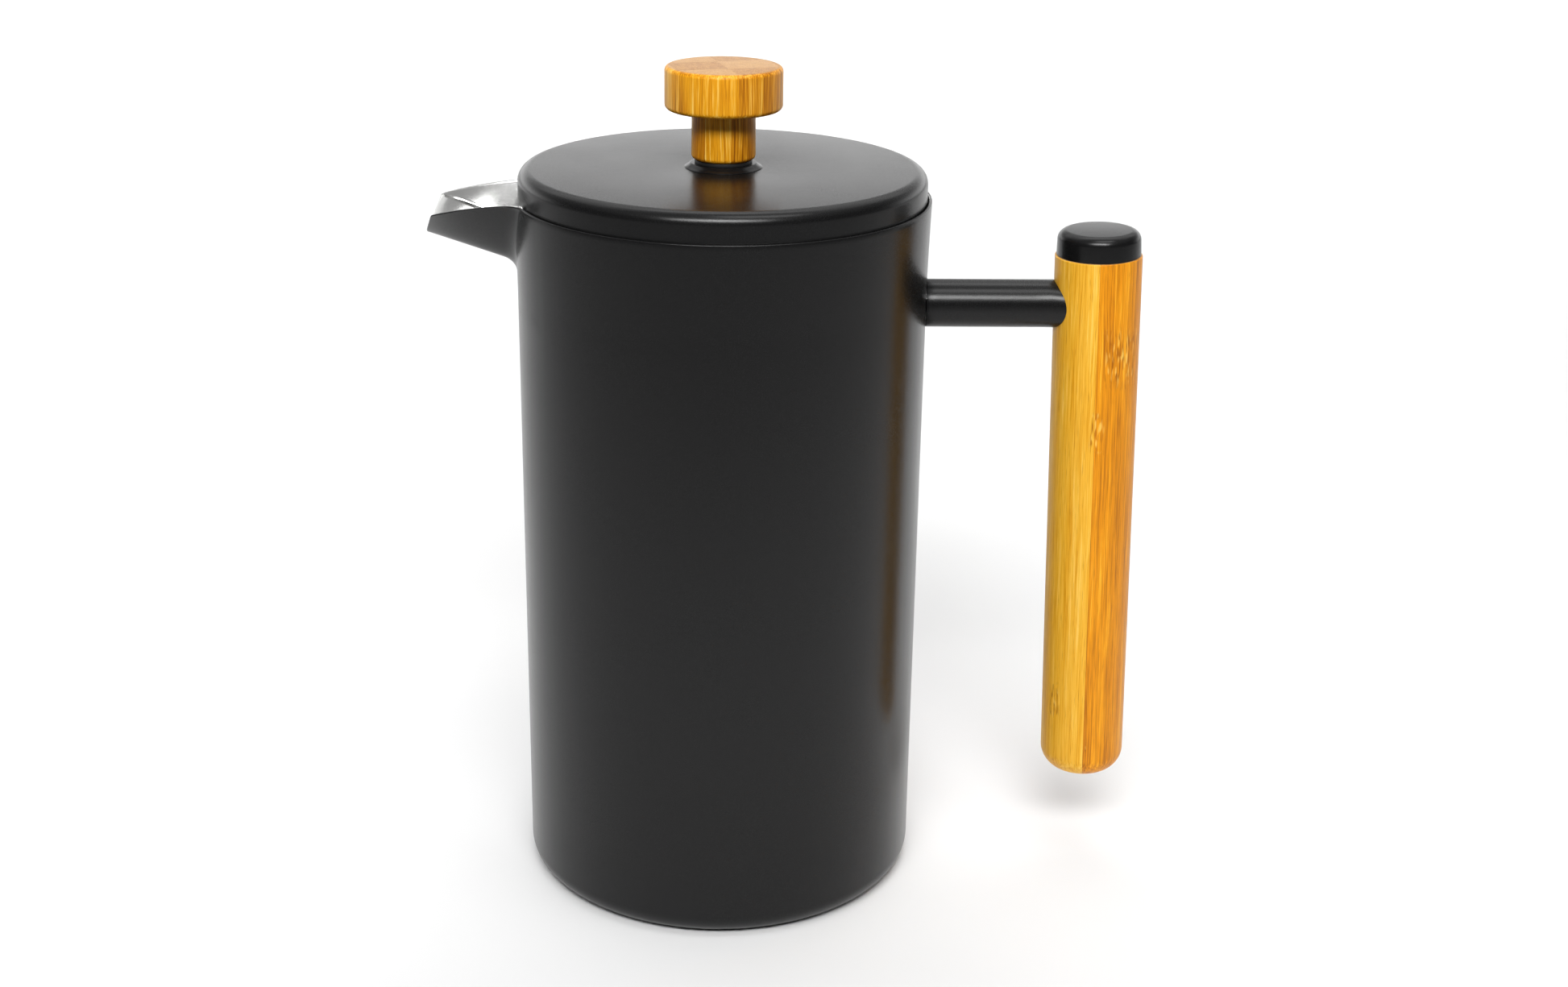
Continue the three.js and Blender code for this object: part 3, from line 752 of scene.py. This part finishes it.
def all_columns():
    """Angles right round the pot: the window's, and then wall_columns."""
    window = np.linspace(-WINDOW_HALF, WINDOW_HALF, WINDOW_COLUMNS + 1)
    return np.concatenate([window[:-1], wall_columns()[:-1]])


def around(radius, angle, z):
    """A point at an angle from the spout's side."""
    return [-radius * np.cos(angle), radius * np.sin(angle), z]


def pot_wall(sheets, radius_at, foot, patch, top_z, finish=0, patch_finish=0):
    """A whole wall: the foot turned right round, the wall beside the window, and the patch in it."""
    climb = np.linspace(foot[-1][1], WINDOW_LOW_Z, 12)[1:]
    profile = list(foot) + [(float(radius_at(z)), z) for z in climb]
    sheets.grid([[around(r, a, z) for r, z in profile] for a in all_columns()], finish, closed=True)
    levels = np.linspace(WINDOW_LOW_Z, top_z, WINDOW_ROWS + 1)
    wall = [(float(radius_at(z)), z) for z in levels]
    sheets.grid([[around(r, a, z) for r, z in wall] for a in wall_columns()], finish)
    sheets.grid(patch, patch_finish)


def top_edge(radius_at, patch, top_z):
    """The line along a wall's top: round the mouth, out along one rim of the spout, back by the other."""
    mouth = np.array([around(float(radius_at(top_z)), a, top_z) for a in wall_columns()])
    return np.concatenate([mouth, patch[0][1:], patch[1:, -1], patch[-1][::-1][1:-1]])


def top_edge_way(patch):
    """The way the edge faces at each point of top_edge: up along the rims, and forwards at the lip."""
    up = np.tile([0.0, 0.0, 1.0], (OTHER_COLUMNS + 1, 1))
    side = np.tile([0.0, 0.0, 1.0], (patch.shape[1] - 1, 1))
    lip = patch[1:, -1] - patch[1:, -2]
    lip /= np.linalg.norm(lip, axis=1, keepdims=True)
    return np.concatenate([up, side, lip, side[:-1]])


EDGE_BEAD = 0.25
BEAD_STEPS = 6
BLACK_BEAD_STEPS = 4
BASE_HOLE_RADIUS = BASE_RADIUS + 0.15


def inner_radius(z):
    return shell_radius(z) - SHEET


def shell_front(share):
    """The shell ends in a bead at the lip."""
    return np.full_like(share, 0.3 / (ROOT_X - TIP_X))


def outer_shell():
    """The black outer wall with its spout. Its rim, and the inside of the spout, are bare steel."""
    edge_z = RIM_Z - EDGE_BEAD
    outside = spout_patch(shell_radius, 0.0, edge_z, 3.2, 3.4, shell_front)
    inside = inner_face(outside, inner_radius)
    inner, foot_top_z = SHELL_RADIUS - SHEET, 14
    foot_out = [(BASE_HOLE_RADIUS, 0, 0), (SHELL_RADIUS, 0, SHELL_FILLET), (SHELL_RADIUS, foot_top_z, 0)]
    foot_in = [(BASE_HOLE_RADIUS, SHEET, 0), (inner, SHEET, SHELL_FILLET - SHEET), (inner, foot_top_z, 0)]
    sheets = Sheets()
    pot_wall(sheets, shell_radius, rounded(foot_out, 12), outside, edge_z)
    pot_wall(sheets, inner_radius, rounded(foot_in, 12), inside, edge_z, 1, 1)
    hole = [[around(BASE_HOLE_RADIUS, a, z) for z in (0.0, SHEET)] for a in all_columns()]
    sheets.grid(hole, 0, closed=True)
    outer_edge = top_edge(shell_radius, outside, edge_z)
    inner_edge = top_edge(inner_radius, inside, edge_z)
    way = top_edge_way(outside)
    bead = []
    for k in range(BEAD_STEPS + 1):
        turn = math.pi * k / BEAD_STEPS
        across = (1 - math.cos(turn)) / 2
        bead.append(outer_edge + (inner_edge - outer_edge) * across + way * EDGE_BEAD * math.sin(turn))
    sheets.grid(np.stack(bead[: BLACK_BEAD_STEPS + 1], axis=1), 0, closed=True)
    sheets.grid(np.stack(bead[BLACK_BEAD_STEPS:], axis=1), 1, closed=True)
    return sheets.mesh("pot_shell")


LINER_KEEL_X = -59.0
LINER_RUN = 17.3
LINER_CLIMB_FROM = 0.64


def vessel_radius(z):
    return np.full_like(np.asarray(z, float), VESSEL_RADIUS)


def liner_front(share):
    """Where the liner ends in the spout: far forwards at the rims, and cut back at the keel."""
    climb = np.clip((np.abs(share) - LINER_CLIMB_FROM) / (1 - LINER_CLIMB_FROM), 0, 1) ** 0.5
    x = LINER_KEEL_X - LINER_RUN * climb
    return (x - TIP_X) / (ROOT_X - TIP_X)


def inner_vessel():
    """The bare steel vessel, its shoulder for the lid, and its liner in the spout."""
    patch = spout_patch(vessel_radius, LINER_INSET, SEAT_Z, 3.5, 4.5, liner_front, True)
    floor_hole = 0.5
    foot = [(floor_hole, VESSEL_FLOOR_Z, 0), (VESSEL_RADIUS, VESSEL_FLOOR_Z, VESSEL_FILLET),
            (VESSEL_RADIUS, 16, 0)]
    sheets = Sheets()
    pot_wall(sheets, vessel_radius, rounded(foot, 10), patch, SEAT_Z, 1)
    ring = [around(floor_hole, a, VESSEL_FLOOR_Z) for a in all_columns()]
    sheets.fan(ring, (0, 0, VESSEL_FLOOR_Z), 1)

    # The shoulder follows the mouth, and the patch's rims as far as they are inside it.
    mouth = np.array([around(VESSEL_RADIUS, a, SEAT_Z) for a in wall_columns()])
    corner = slice(1, BAND_ROWS + FILLET_ROWS)
    ledge = np.concatenate([patch[-1][corner][::-1], mouth, patch[0][corner]])
    away = np.hypot(ledge[:, 0], ledge[:, 1])
    inside = away < LEDGE_RADIUS - 0.1
    ledge, away = ledge[inside], away[inside]
    spread = (LEDGE_RADIUS / away)[:, None]
    outer = np.hstack([ledge[:, :2] * spread, ledge[:, 2:]])
    sheets.grid(np.stack([ledge, outer], axis=1))
    return sheets.mesh("pot_vessel", thickness=-VESSEL_SHEET)


def build_pot():
    shell_nodes = ("outer_shell", "spout")
    add_mesh("pot_shell", outer_shell(), "pot", [BLACK, POLISHED], shell_nodes, 40)
    vessel_nodes = ("inner_vessel", "spout_liner")
    add_mesh("pot_vessel", inner_vessel(), "pot", [POLISHED, INSIDE], vessel_nodes, 40)
    edge, thickness = BASE_RADIUS - 0.05, 1.2
    base = rounded([(0, 0, 0), (edge, 0, 0.3), (edge, thickness, 0.2), (0, thickness, 0)], 4)
    add_turned("pot_base", base, "pot", BLACK, "base_plate")


build_pot()

# ---- Handle ----


POST_BORE = POST_RADIUS - 1.5
POST_WALL_GAP = 0.12
GRIP_END = 60
SADDLE_FROM = 56.5
SADDLE_WIDENING = 0.13


def handle_post():
    """The tube between the pot and the grip, its ends shaped to both, and slightly wider at the grip."""
    rows = []
    for a in np.linspace(0, 2 * math.pi, SMALL_ROUND, endpoint=False):
        row = []
        for place, radius in post_profile():
            y, z = radius * math.cos(a), radius * math.sin(a)
            y *= 1 + SADDLE_WIDENING * max(0, (place - SADDLE_FROM) / (GRIP_END - SADDLE_FROM)) ** 2
            start = math.sqrt(shell_radius(POST_Z + z) ** 2 - y * y)
            end = GRIP_X - GRIP_LEAN * z - math.sqrt((GRIP_RADIUS + 0.03) ** 2 - y * y)
            x = start + place if place < GRIP_END / 2 else end + place - GRIP_END
            row.append((x, y, POST_Z + z))
        rows.append(row)
    sheets = Sheets()
    sheets.grid(rows, closed=True)
    return sheets.mesh("post_tube")


def post_profile():
    """(place, radius) along the tube and back through its bore. A small place is from the pot's wall, and
    a large one is from the grip's face, at GRIP_END."""
    start, end, radius = POST_WALL_GAP, GRIP_END, POST_RADIUS
    outside = [(start, radius - 0.2), (start + 0.06, radius - 0.06), (start + 0.2, radius)]
    outside += [(place, radius) for place in (3, 12, 52, 57, 59.7)]
    outside += [(59.9, radius - 0.05), (end, radius - 0.2)]
    return outside + [(end, POST_BORE), (50, POST_BORE), (12, POST_BORE), (start, POST_BORE), outside[0]]


def grip_profile():
    foot, top, socket, socket_z = -GRIP_BELOW, GRIP_ABOVE, 6.2, GRIP_ABOVE - 7.2
    corners = [(0, foot, 0), (GRIP_RADIUS, foot, GRIP_FOOT_FILLET), (GRIP_RADIUS, top, 0.35)]
    return rounded(corners + [(socket, top, 0.2), (socket, socket_z, 0.2), (0, socket_z, 0)], 14)


def cap_profile():
    """The cap's spigot, which sits in the grip's socket, and its rounded head."""
    low_z, top_z, spigot = GRIP_ABOVE + 0.06, GRIP_ABOVE + CAP_HEIGHT, 6.0
    corners = [(0, low_z - 6.8, 0), (spigot, low_z - 6.8, 0.3), (spigot, low_z, 0.1)]
    corners += [(CAP_RADIUS, low_z, 0.2), (CAP_RADIUS - 0.25, top_z, 2.6), (0, top_z, 0)]
    return rounded(corners, 14)


def stud_profile():
    """The stud's disc on the pot's wall and the pin inside the tube, along the tube."""
    face, disc, pin, end = SHELL_RADIUS + 0.02, 4.4, 2.5, 97
    corners = [(0, face - 0.1, 0), (disc, face - 0.1, 0.05), (disc, face + 1.5, 0.3)]
    return rounded(corners + [(pin, face + 1.5, 0.3), (pin, end, 0.4), (0, end, 0)], 4)


def build_handle():
    add_mesh("post_tube", handle_post(), "pot", [BLACK], ("handle_post",))
    side = Matrix.Translation((0, 0, POST_Z * MM)) @ Matrix.Rotation(math.pi / 2, 4, "Y")
    add_turned("post_stud", stud_profile(), "pot", STEEL, "weld_stud", 64, side)
    add_turned("grip_wood", grip_profile(), "pot", GRIP_BAMBOO, "handle_grip", place=GRIP_PLACE)
    add_turned("grip_end_cap", cap_profile(), "pot", BLACK, "grip_cap", place=GRIP_PLACE)
    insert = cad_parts["grip_insert"].data
    insert.materials.clear()
    insert.materials.append(BRASS)


build_handle()

# ---- Lid ----


SKIRT_RADIUS = 48.5
SKIRT_SHEET = 0.5
FLANGE_RADIUS = LID_RADIUS - 1.6
SLOT_COUNT = 9
SLOT_PITCH = math.radians(7.5)
SLOT_HALF = math.radians(1.18)
SLOT_LOW_Z = 176.0
SLOT_TOP_Z = 186.0
LID_HOLE = 4.1
CEILING_RADIUS = 48.0


def skirt_profile():
    """(radius, height) down the skirt from its flange to its curled foot."""
    flange_z = SEAT_Z + 0.7
    levels = [187.6, 186.6, SLOT_TOP_Z, 184, 181, 178, SLOT_LOW_Z, 175, 173.4, LINER_LOW_Z + 0.6]
    profile = [(FLANGE_RADIUS, flange_z), (SKIRT_RADIUS + 0.8, flange_z)]
    profile += [(SKIRT_RADIUS + 0.25, SEAT_Z + 0.45)]
    profile += [(SKIRT_RADIUS, z) for z in levels]
    return profile + [(SKIRT_RADIUS - 0.15, LINER_LOW_Z + 0.25), (SKIRT_RADIUS - 0.6, LINER_LOW_Z + 0.1)]


def lid_skirt():
    """The pressed steel skirt. Its pouring slots, on the spout's side, are left open."""
    first = math.pi - SLOT_PITCH * (SLOT_COUNT - 1) / 2
    middles = [first + SLOT_PITCH * k for k in range(SLOT_COUNT)]
    edges = sorted(middle + side * SLOT_HALF for middle in middles for side in (-1, 1))
    angles = edges + np.linspace(edges[-1], edges[0] + 2 * math.pi, 150)[1:-1].tolist()
    profile = skirt_profile()
    sheets = Sheets()
    for i, angle in enumerate(angles):
        ahead = angles[(i + 1) % len(angles)] + (2 * math.pi if i + 1 == len(angles) else 0)
        is_slot = i < len(edges) and i % 2 == 0
        for (r0, z0), (r1, z1) in zip(profile, profile[1:]):
            if is_slot and SLOT_LOW_Z <= min(z0, z1) and max(z0, z1) <= SLOT_TOP_Z and r0 == r1:
                continue
            ends = ((r0, z0), (r1, z1))
            sides = (angle, ahead)
            sheets.grid([[(r * math.cos(a), r * math.sin(a), z) for r, z in ends] for a in sides])
    return sheets.mesh("liner_skirt", thickness=SKIRT_SHEET)


def lid_ceiling():
    """The plate above the skirt, which closes the lid's hollow."""
    low_z, top_z, foot_z, rim = LINER_TOP_Z - 0.8, LINER_TOP_Z, SEAT_Z + 1.6, CEILING_RADIUS
    inner = [(LID_HOLE, low_z, 0.15), (rim - 1, low_z, 1.2), (rim - 1, foot_z, 0.2)]
    outer = [(rim - 0.2, foot_z, 0.2), (rim - 0.2, top_z, 2.0), (LID_HOLE, top_z, 0.15)]
    return turned("liner_ceiling", rounded(inner + outer, 6, True))


def joined(name, *meshes):
    work = bmesh.new()
    for mesh in meshes:
        work.from_mesh(mesh)
        bpy.data.meshes.remove(mesh)
    made = bpy.data.meshes.new(name)
    work.to_mesh(made)
    work.free()
    return made


LID_SHEET = 1.0
SLIDE_GAP = 0.06


def cover_profile():
    inner, ceiling_z, hole = LID_RADIUS - LID_SHEET, LID_TOP_Z - LID_SHEET, LID_HOLE
    inside = [(hole, ceiling_z, 0.1), (inner, ceiling_z, 2.2), (inner, LID_LOW_Z, 0.3)]
    outside = [(LID_RADIUS, LID_LOW_Z, 0.35), (LID_RADIUS, LID_TOP_Z, 3.3), (hole, LID_TOP_Z, 0.1)]
    return rounded(inside + outside, 16, True)


def guide_profile():
    """The rod's guide: a threaded neck through the lid, under a flange with a raised ring."""
    hole, neck, foot_z, top_z = ROD_RADIUS + SLIDE_GAP, 3.8, LID_TOP_Z + 0.02, BUSHING_TOP_Z + 0.2
    corners = [(hole, BUSHING_LOW_Z, 0.2), (neck, BUSHING_LOW_Z, 0.2), (neck, foot_z, 0.1)]
    corners += [(BUSHING_RADIUS, foot_z, 0.05), (BUSHING_RADIUS - 0.9, foot_z + 0.5, 1.2)]
    return rounded(corners + [(8.6, top_z, 0.5), (hole, top_z, 0.2)], 6, True)


def build_lid():
    add_turned("lid_cover", cover_profile(), "lid", BLACK, "lid_cap")
    underside = joined("lid_underside", lid_skirt(), lid_ceiling())
    add_mesh("lid_underside", underside, "lid", [STEEL], ("lid_liner",))

    add_turned("rod_guide", guide_profile(), "guide", BLACK, "rod_bushing", SMALL_ROUND)
    nut = [circle(6.9, 6), circle(3.85, 48)]
    add_plate("guide_nut", nut, NUT_LOW_Z, NUT_TOP_Z, 0.35, "guide", "bushing_nut", 25)
    low_z, top_z = BUSHING_TOP_Z + 0.22, KNOB_LOW_Z - 0.05
    washer = ring_profile(ROD_RADIUS + SLIDE_GAP, 7.5, low_z, top_z, 0.1)
    add_turned("knob_seal", washer, "knob_collar", PLASTIC, "knob_washer", SMALL_ROUND)


build_lid()

# ---- Plunger ----


def edge_spring():
    """The coil spring round the filter's edge: a fine wire wound round a ring."""
    centre_z = (low("edge_spring", Z) + high("edge_spring", Z)) / 2
    coil, wire = 1.45, 0.3
    ring = high("edge_spring", Y) - coil - wire
    turns, steps, sides = 132, 14, 7
    count = turns * steps
    t = np.linspace(0, 2 * math.pi, count, endpoint=False)
    out = np.stack([np.cos(t), np.sin(t), np.zeros(count)], axis=1)
    up = np.array([0.0, 0.0, 1.0])
    wind = turns * t
    away = out * np.cos(wind)[:, None] + up * np.sin(wind)[:, None]
    line = out * ring + away * coil + up * centre_z
    ahead = np.roll(line, -1, axis=0) - np.roll(line, 1, axis=0)
    ahead /= np.linalg.norm(ahead, axis=1, keepdims=True)
    side = np.cross(ahead, away)
    rows = []
    for k in range(sides + 1):
        a = 2 * math.pi * k / sides
        rows.append(line + wire * (away * math.cos(a) + side * math.sin(a)))
    sheets = Sheets()
    sheets.grid(np.stack(rows, axis=1), closed=True)
    return sheets.mesh("filter_spring")


ROD_BORE = ROD_RADIUS + 0.05
KNOB_STEM_RADIUS = 8.25
KNOB_DISC_Z = 213.3
THREAD_RADIUS = 4.1


def knob_profile():
    """The knob's socket for its insert, then its stem, the hollow under the disc, and the disc."""
    low_z, top_z, stem = KNOB_LOW_Z, KNOB_TOP_Z, KNOB_STEM_RADIUS
    socket, socket_z = 4.2, KNOB_LOW_Z + 11.6
    corners = [(0, socket_z, 0), (socket, socket_z, 0.2), (socket, low_z, 0.3)]
    corners += [(stem + 0.15, low_z, 1.3), (stem, KNOB_DISC_Z, 1.1)]
    corners += [(KNOB_RADIUS, KNOB_DISC_Z, 1.4), (KNOB_RADIUS, top_z, 1.3), (0, top_z, 0)]
    return rounded(corners, 12)


def rod_profile():
    low_z, top_z = ROD_LOW_Z, ROD_TOP_Z - 0.8
    return rounded([(0, low_z, 0), (ROD_RADIUS, low_z, 0.5), (ROD_RADIUS, top_z, 0.5), (0, top_z, 0)], 5)


def collar_profile():
    """The nut-like collar on the rod, above the filter: a wide foot and a narrow neck."""
    low_z, top_z, foot, neck = low("rod_collar", Z) - 0.25, high("rod_collar", Z), 6.0, 4.2
    corners = [(ROD_BORE, low_z, 0.1), (foot, low_z, 0.3), (foot, low_z + 2.4, 0.3)]
    corners += [(neck, low_z + 3.2, 0.8), (neck, top_z, 0.5), (ROD_BORE, top_z, 0.2)]
    return rounded(corners, 6, True)


def screen_profile():
    """The woven screen, turned up round the spring at its edge."""
    low_z, top_z = low("mesh_screen", Z), high("mesh_screen", Z)
    corners = [(ROD_BORE, low_z, 0.1), (46.3, low_z, 0.8), (48.0, low_z + 1.6, 0.15)]
    corners += [(47.7, low_z + 1.8, 0.1), (46.2, top_z, 0.6), (ROD_BORE, top_z, 0.1)]
    return rounded(corners, 4, True)


def build_knob():
    add_turned("knob_wood", knob_profile(), "plunger", KNOB_BAMBOO, "knob")
    sleeve = ring_profile(ROD_BORE, THREAD_RADIUS, KNOB_LOW_Z + 0.2, KNOB_LOW_Z + 11.3, 0.3)
    add_turned("knob_thread", sleeve, "plunger", BRASS, "knob_insert", SMALL_ROUND)
    add_turned("press_rod", rod_profile(), "plunger", STEEL, "plunger_rod", 64)


def build_filter():
    add_turned("filter_collar", collar_profile(), "plunger", STEEL, "rod_collar", SMALL_ROUND)
    bore = circle(ROD_BORE, 48)
    top_low, top_high = low("spring_plate", Z), high("spring_plate", Z) - 0.2
    holes = hole_row(8, 6, 30, math.pi / 8) + hole_row(6, 3.2, 14.5)
    disc = [circle(44.9, 144), bore, *holes]
    add_plate("filter_top_plate", disc, top_low, top_high, 0.12, "plunger", "spring_plate", 30)
    add_mesh("filter_spring", edge_spring(), "plunger", [SPRING], ("edge_spring",), 60)
    add_turned("filter_mesh", screen_profile(), "plunger", WEAVE, "mesh_screen")
    cross_low, cross_high = low("cross_plate", Z), high("cross_plate", Z)
    petals = hole_row(8, 8.5, 34) + hole_row(4, 5, 15)
    cross = [circle(46.4, 144), bore, *petals]
    add_plate("filter_bottom_plate", cross, cross_low, cross_high, 0.15, "plunger", "cross_plate", 30)
    nut = [circle(6, 6, turn=0.4), bore]
    add_plate("filter_nut", nut, low("hub_nut", Z), cross_low - 0.03, 0.4, "plunger", "hub_nut", 25)


build_knob()
build_filter()

# ---- Stage, light and camera ----


def build_stage():
    """A plain pale floor, far larger than the view."""
    size = 12.0
    mesh = bpy.data.meshes.new("floor")
    corners = [(-size, -size, 0), (size, -size, 0), (size, size, 0), (-size, size, 0)]
    mesh.from_pydata(corners, [], [(0, 1, 2, 3)])
    finish = Finish("pale_floor", IOR=1.4)
    cloud = finish.noise(finish.place(), 3.0, 3.0)
    colour = finish.blend(cloud, (0.86, 0.86, 0.86, 1), (0.88, 0.88, 0.88, 1))
    finish.to_shader(Base_Color=colour, Roughness=finish.spread(cloud, 0, 1, 0.85, 0.95))
    mesh.materials.append(finish.material)
    floor = bpy.data.objects.new("floor", mesh)
    bpy.context.scene.collection.objects.link(floor)
    floor.location.z = -0.0002


def add_softbox(name, place, target, width, height, power, beam=180):
    """An area light at place, facing target. A narrower beam, in degrees, gives a tighter light."""
    light = bpy.data.lights.new(name, "AREA")
    light.shape = "RECTANGLE"
    light.size, light.size_y = width, height
    light.energy = power
    light.spread = math.radians(beam)
    lamp = bpy.data.objects.new(name, light)
    bpy.context.scene.collection.objects.link(lamp)
    lamp.location = place
    lamp.visible_camera = False
    lamp.rotation_euler = (Vector(target) - Vector(place)).to_track_quat("-Z", "Y").to_euler()


def build_light():
    """A room that is bright low down behind the pot, dim in front and soft above, and four softboxes."""
    world = bpy.data.worlds.new("studio")
    bpy.context.scene.world = world
    world.use_nodes = True
    nodes = Nodes(world.node_tree)
    way = nodes.split(nodes.node("TexCoord").outputs["Generated"])
    behind = nodes.spread(way["Y"], 0.1, 0.7, 0.08, 1.75, "SMOOTHSTEP")
    fade = nodes.spread(way["Z"], 0.12, 0.36, 1.0, 0.25, "SMOOTHSTEP")
    dome = nodes.spread(way["Z"], 0.3, 0.8, 0.0, 0.38, "SMOOTHSTEP")
    strength = nodes.math("MAXIMUM", nodes.math("MULTIPLY", behind, fade), dome)
    background = world.node_tree.nodes["Background"]
    background.inputs["Color"].default_value = (1, 1, 1, 1)
    nodes.feed(background.inputs["Strength"], strength)
    add_softbox("overhead", (0.18, -0.21, 0.9), (0.18, -0.21, 0), 0.42, 0.24, 1.2)
    add_softbox("ceiling", (0.0, 1.4, 2.3), (0, 0.3, 0), 4.0, 2.4, 20)
    add_softbox("floor_wash", (0, 1.6, 2.2), (0, 1.6, 0), 4.0, 1.6, 22, 75)
    add_softbox("front", (-0.05, -0.88, 0.95), (0.02, 0.12, 0.08), 1.0, 0.3, 2.3, 60)


def build_camera():
    """The camera looks down at the front, the handle to the right. Lengths are in mm."""
    distance, height, azimuth = 569.3, 320.9, 0.01
    yaw, pitch, roll = 0.0301, 0.3586, 0.0161
    focal_share = 1.4109
    data = bpy.data.cameras.new("camera")
    data.sensor_width = 36
    data.lens = data.sensor_width * focal_share
    data.clip_start, data.clip_end = 0.01, 100
    camera = bpy.data.objects.new("camera", data)
    bpy.context.scene.collection.objects.link(camera)
    heading = yaw + azimuth
    level = math.cos(pitch)
    forward = Vector((math.sin(heading) * level, math.cos(heading) * level, -math.sin(pitch)))
    right = Vector((math.cos(heading), -math.sin(heading), 0))
    up = right.cross(forward)
    rolled_right = right * math.cos(roll) + up * math.sin(roll)
    rolled_up = up * math.cos(roll) - right * math.sin(roll)
    turn = Matrix((rolled_right, rolled_up, -forward)).transposed().to_4x4()
    eye = Vector((-distance * math.sin(azimuth), -distance * math.cos(azimuth), height)) * MM
    camera.matrix_world = Matrix.Translation(eye) @ turn
    bpy.context.scene.camera = camera


build_stage()
build_light()
build_camera()
bpy.context.scene.view_settings.view_transform = "Standard"
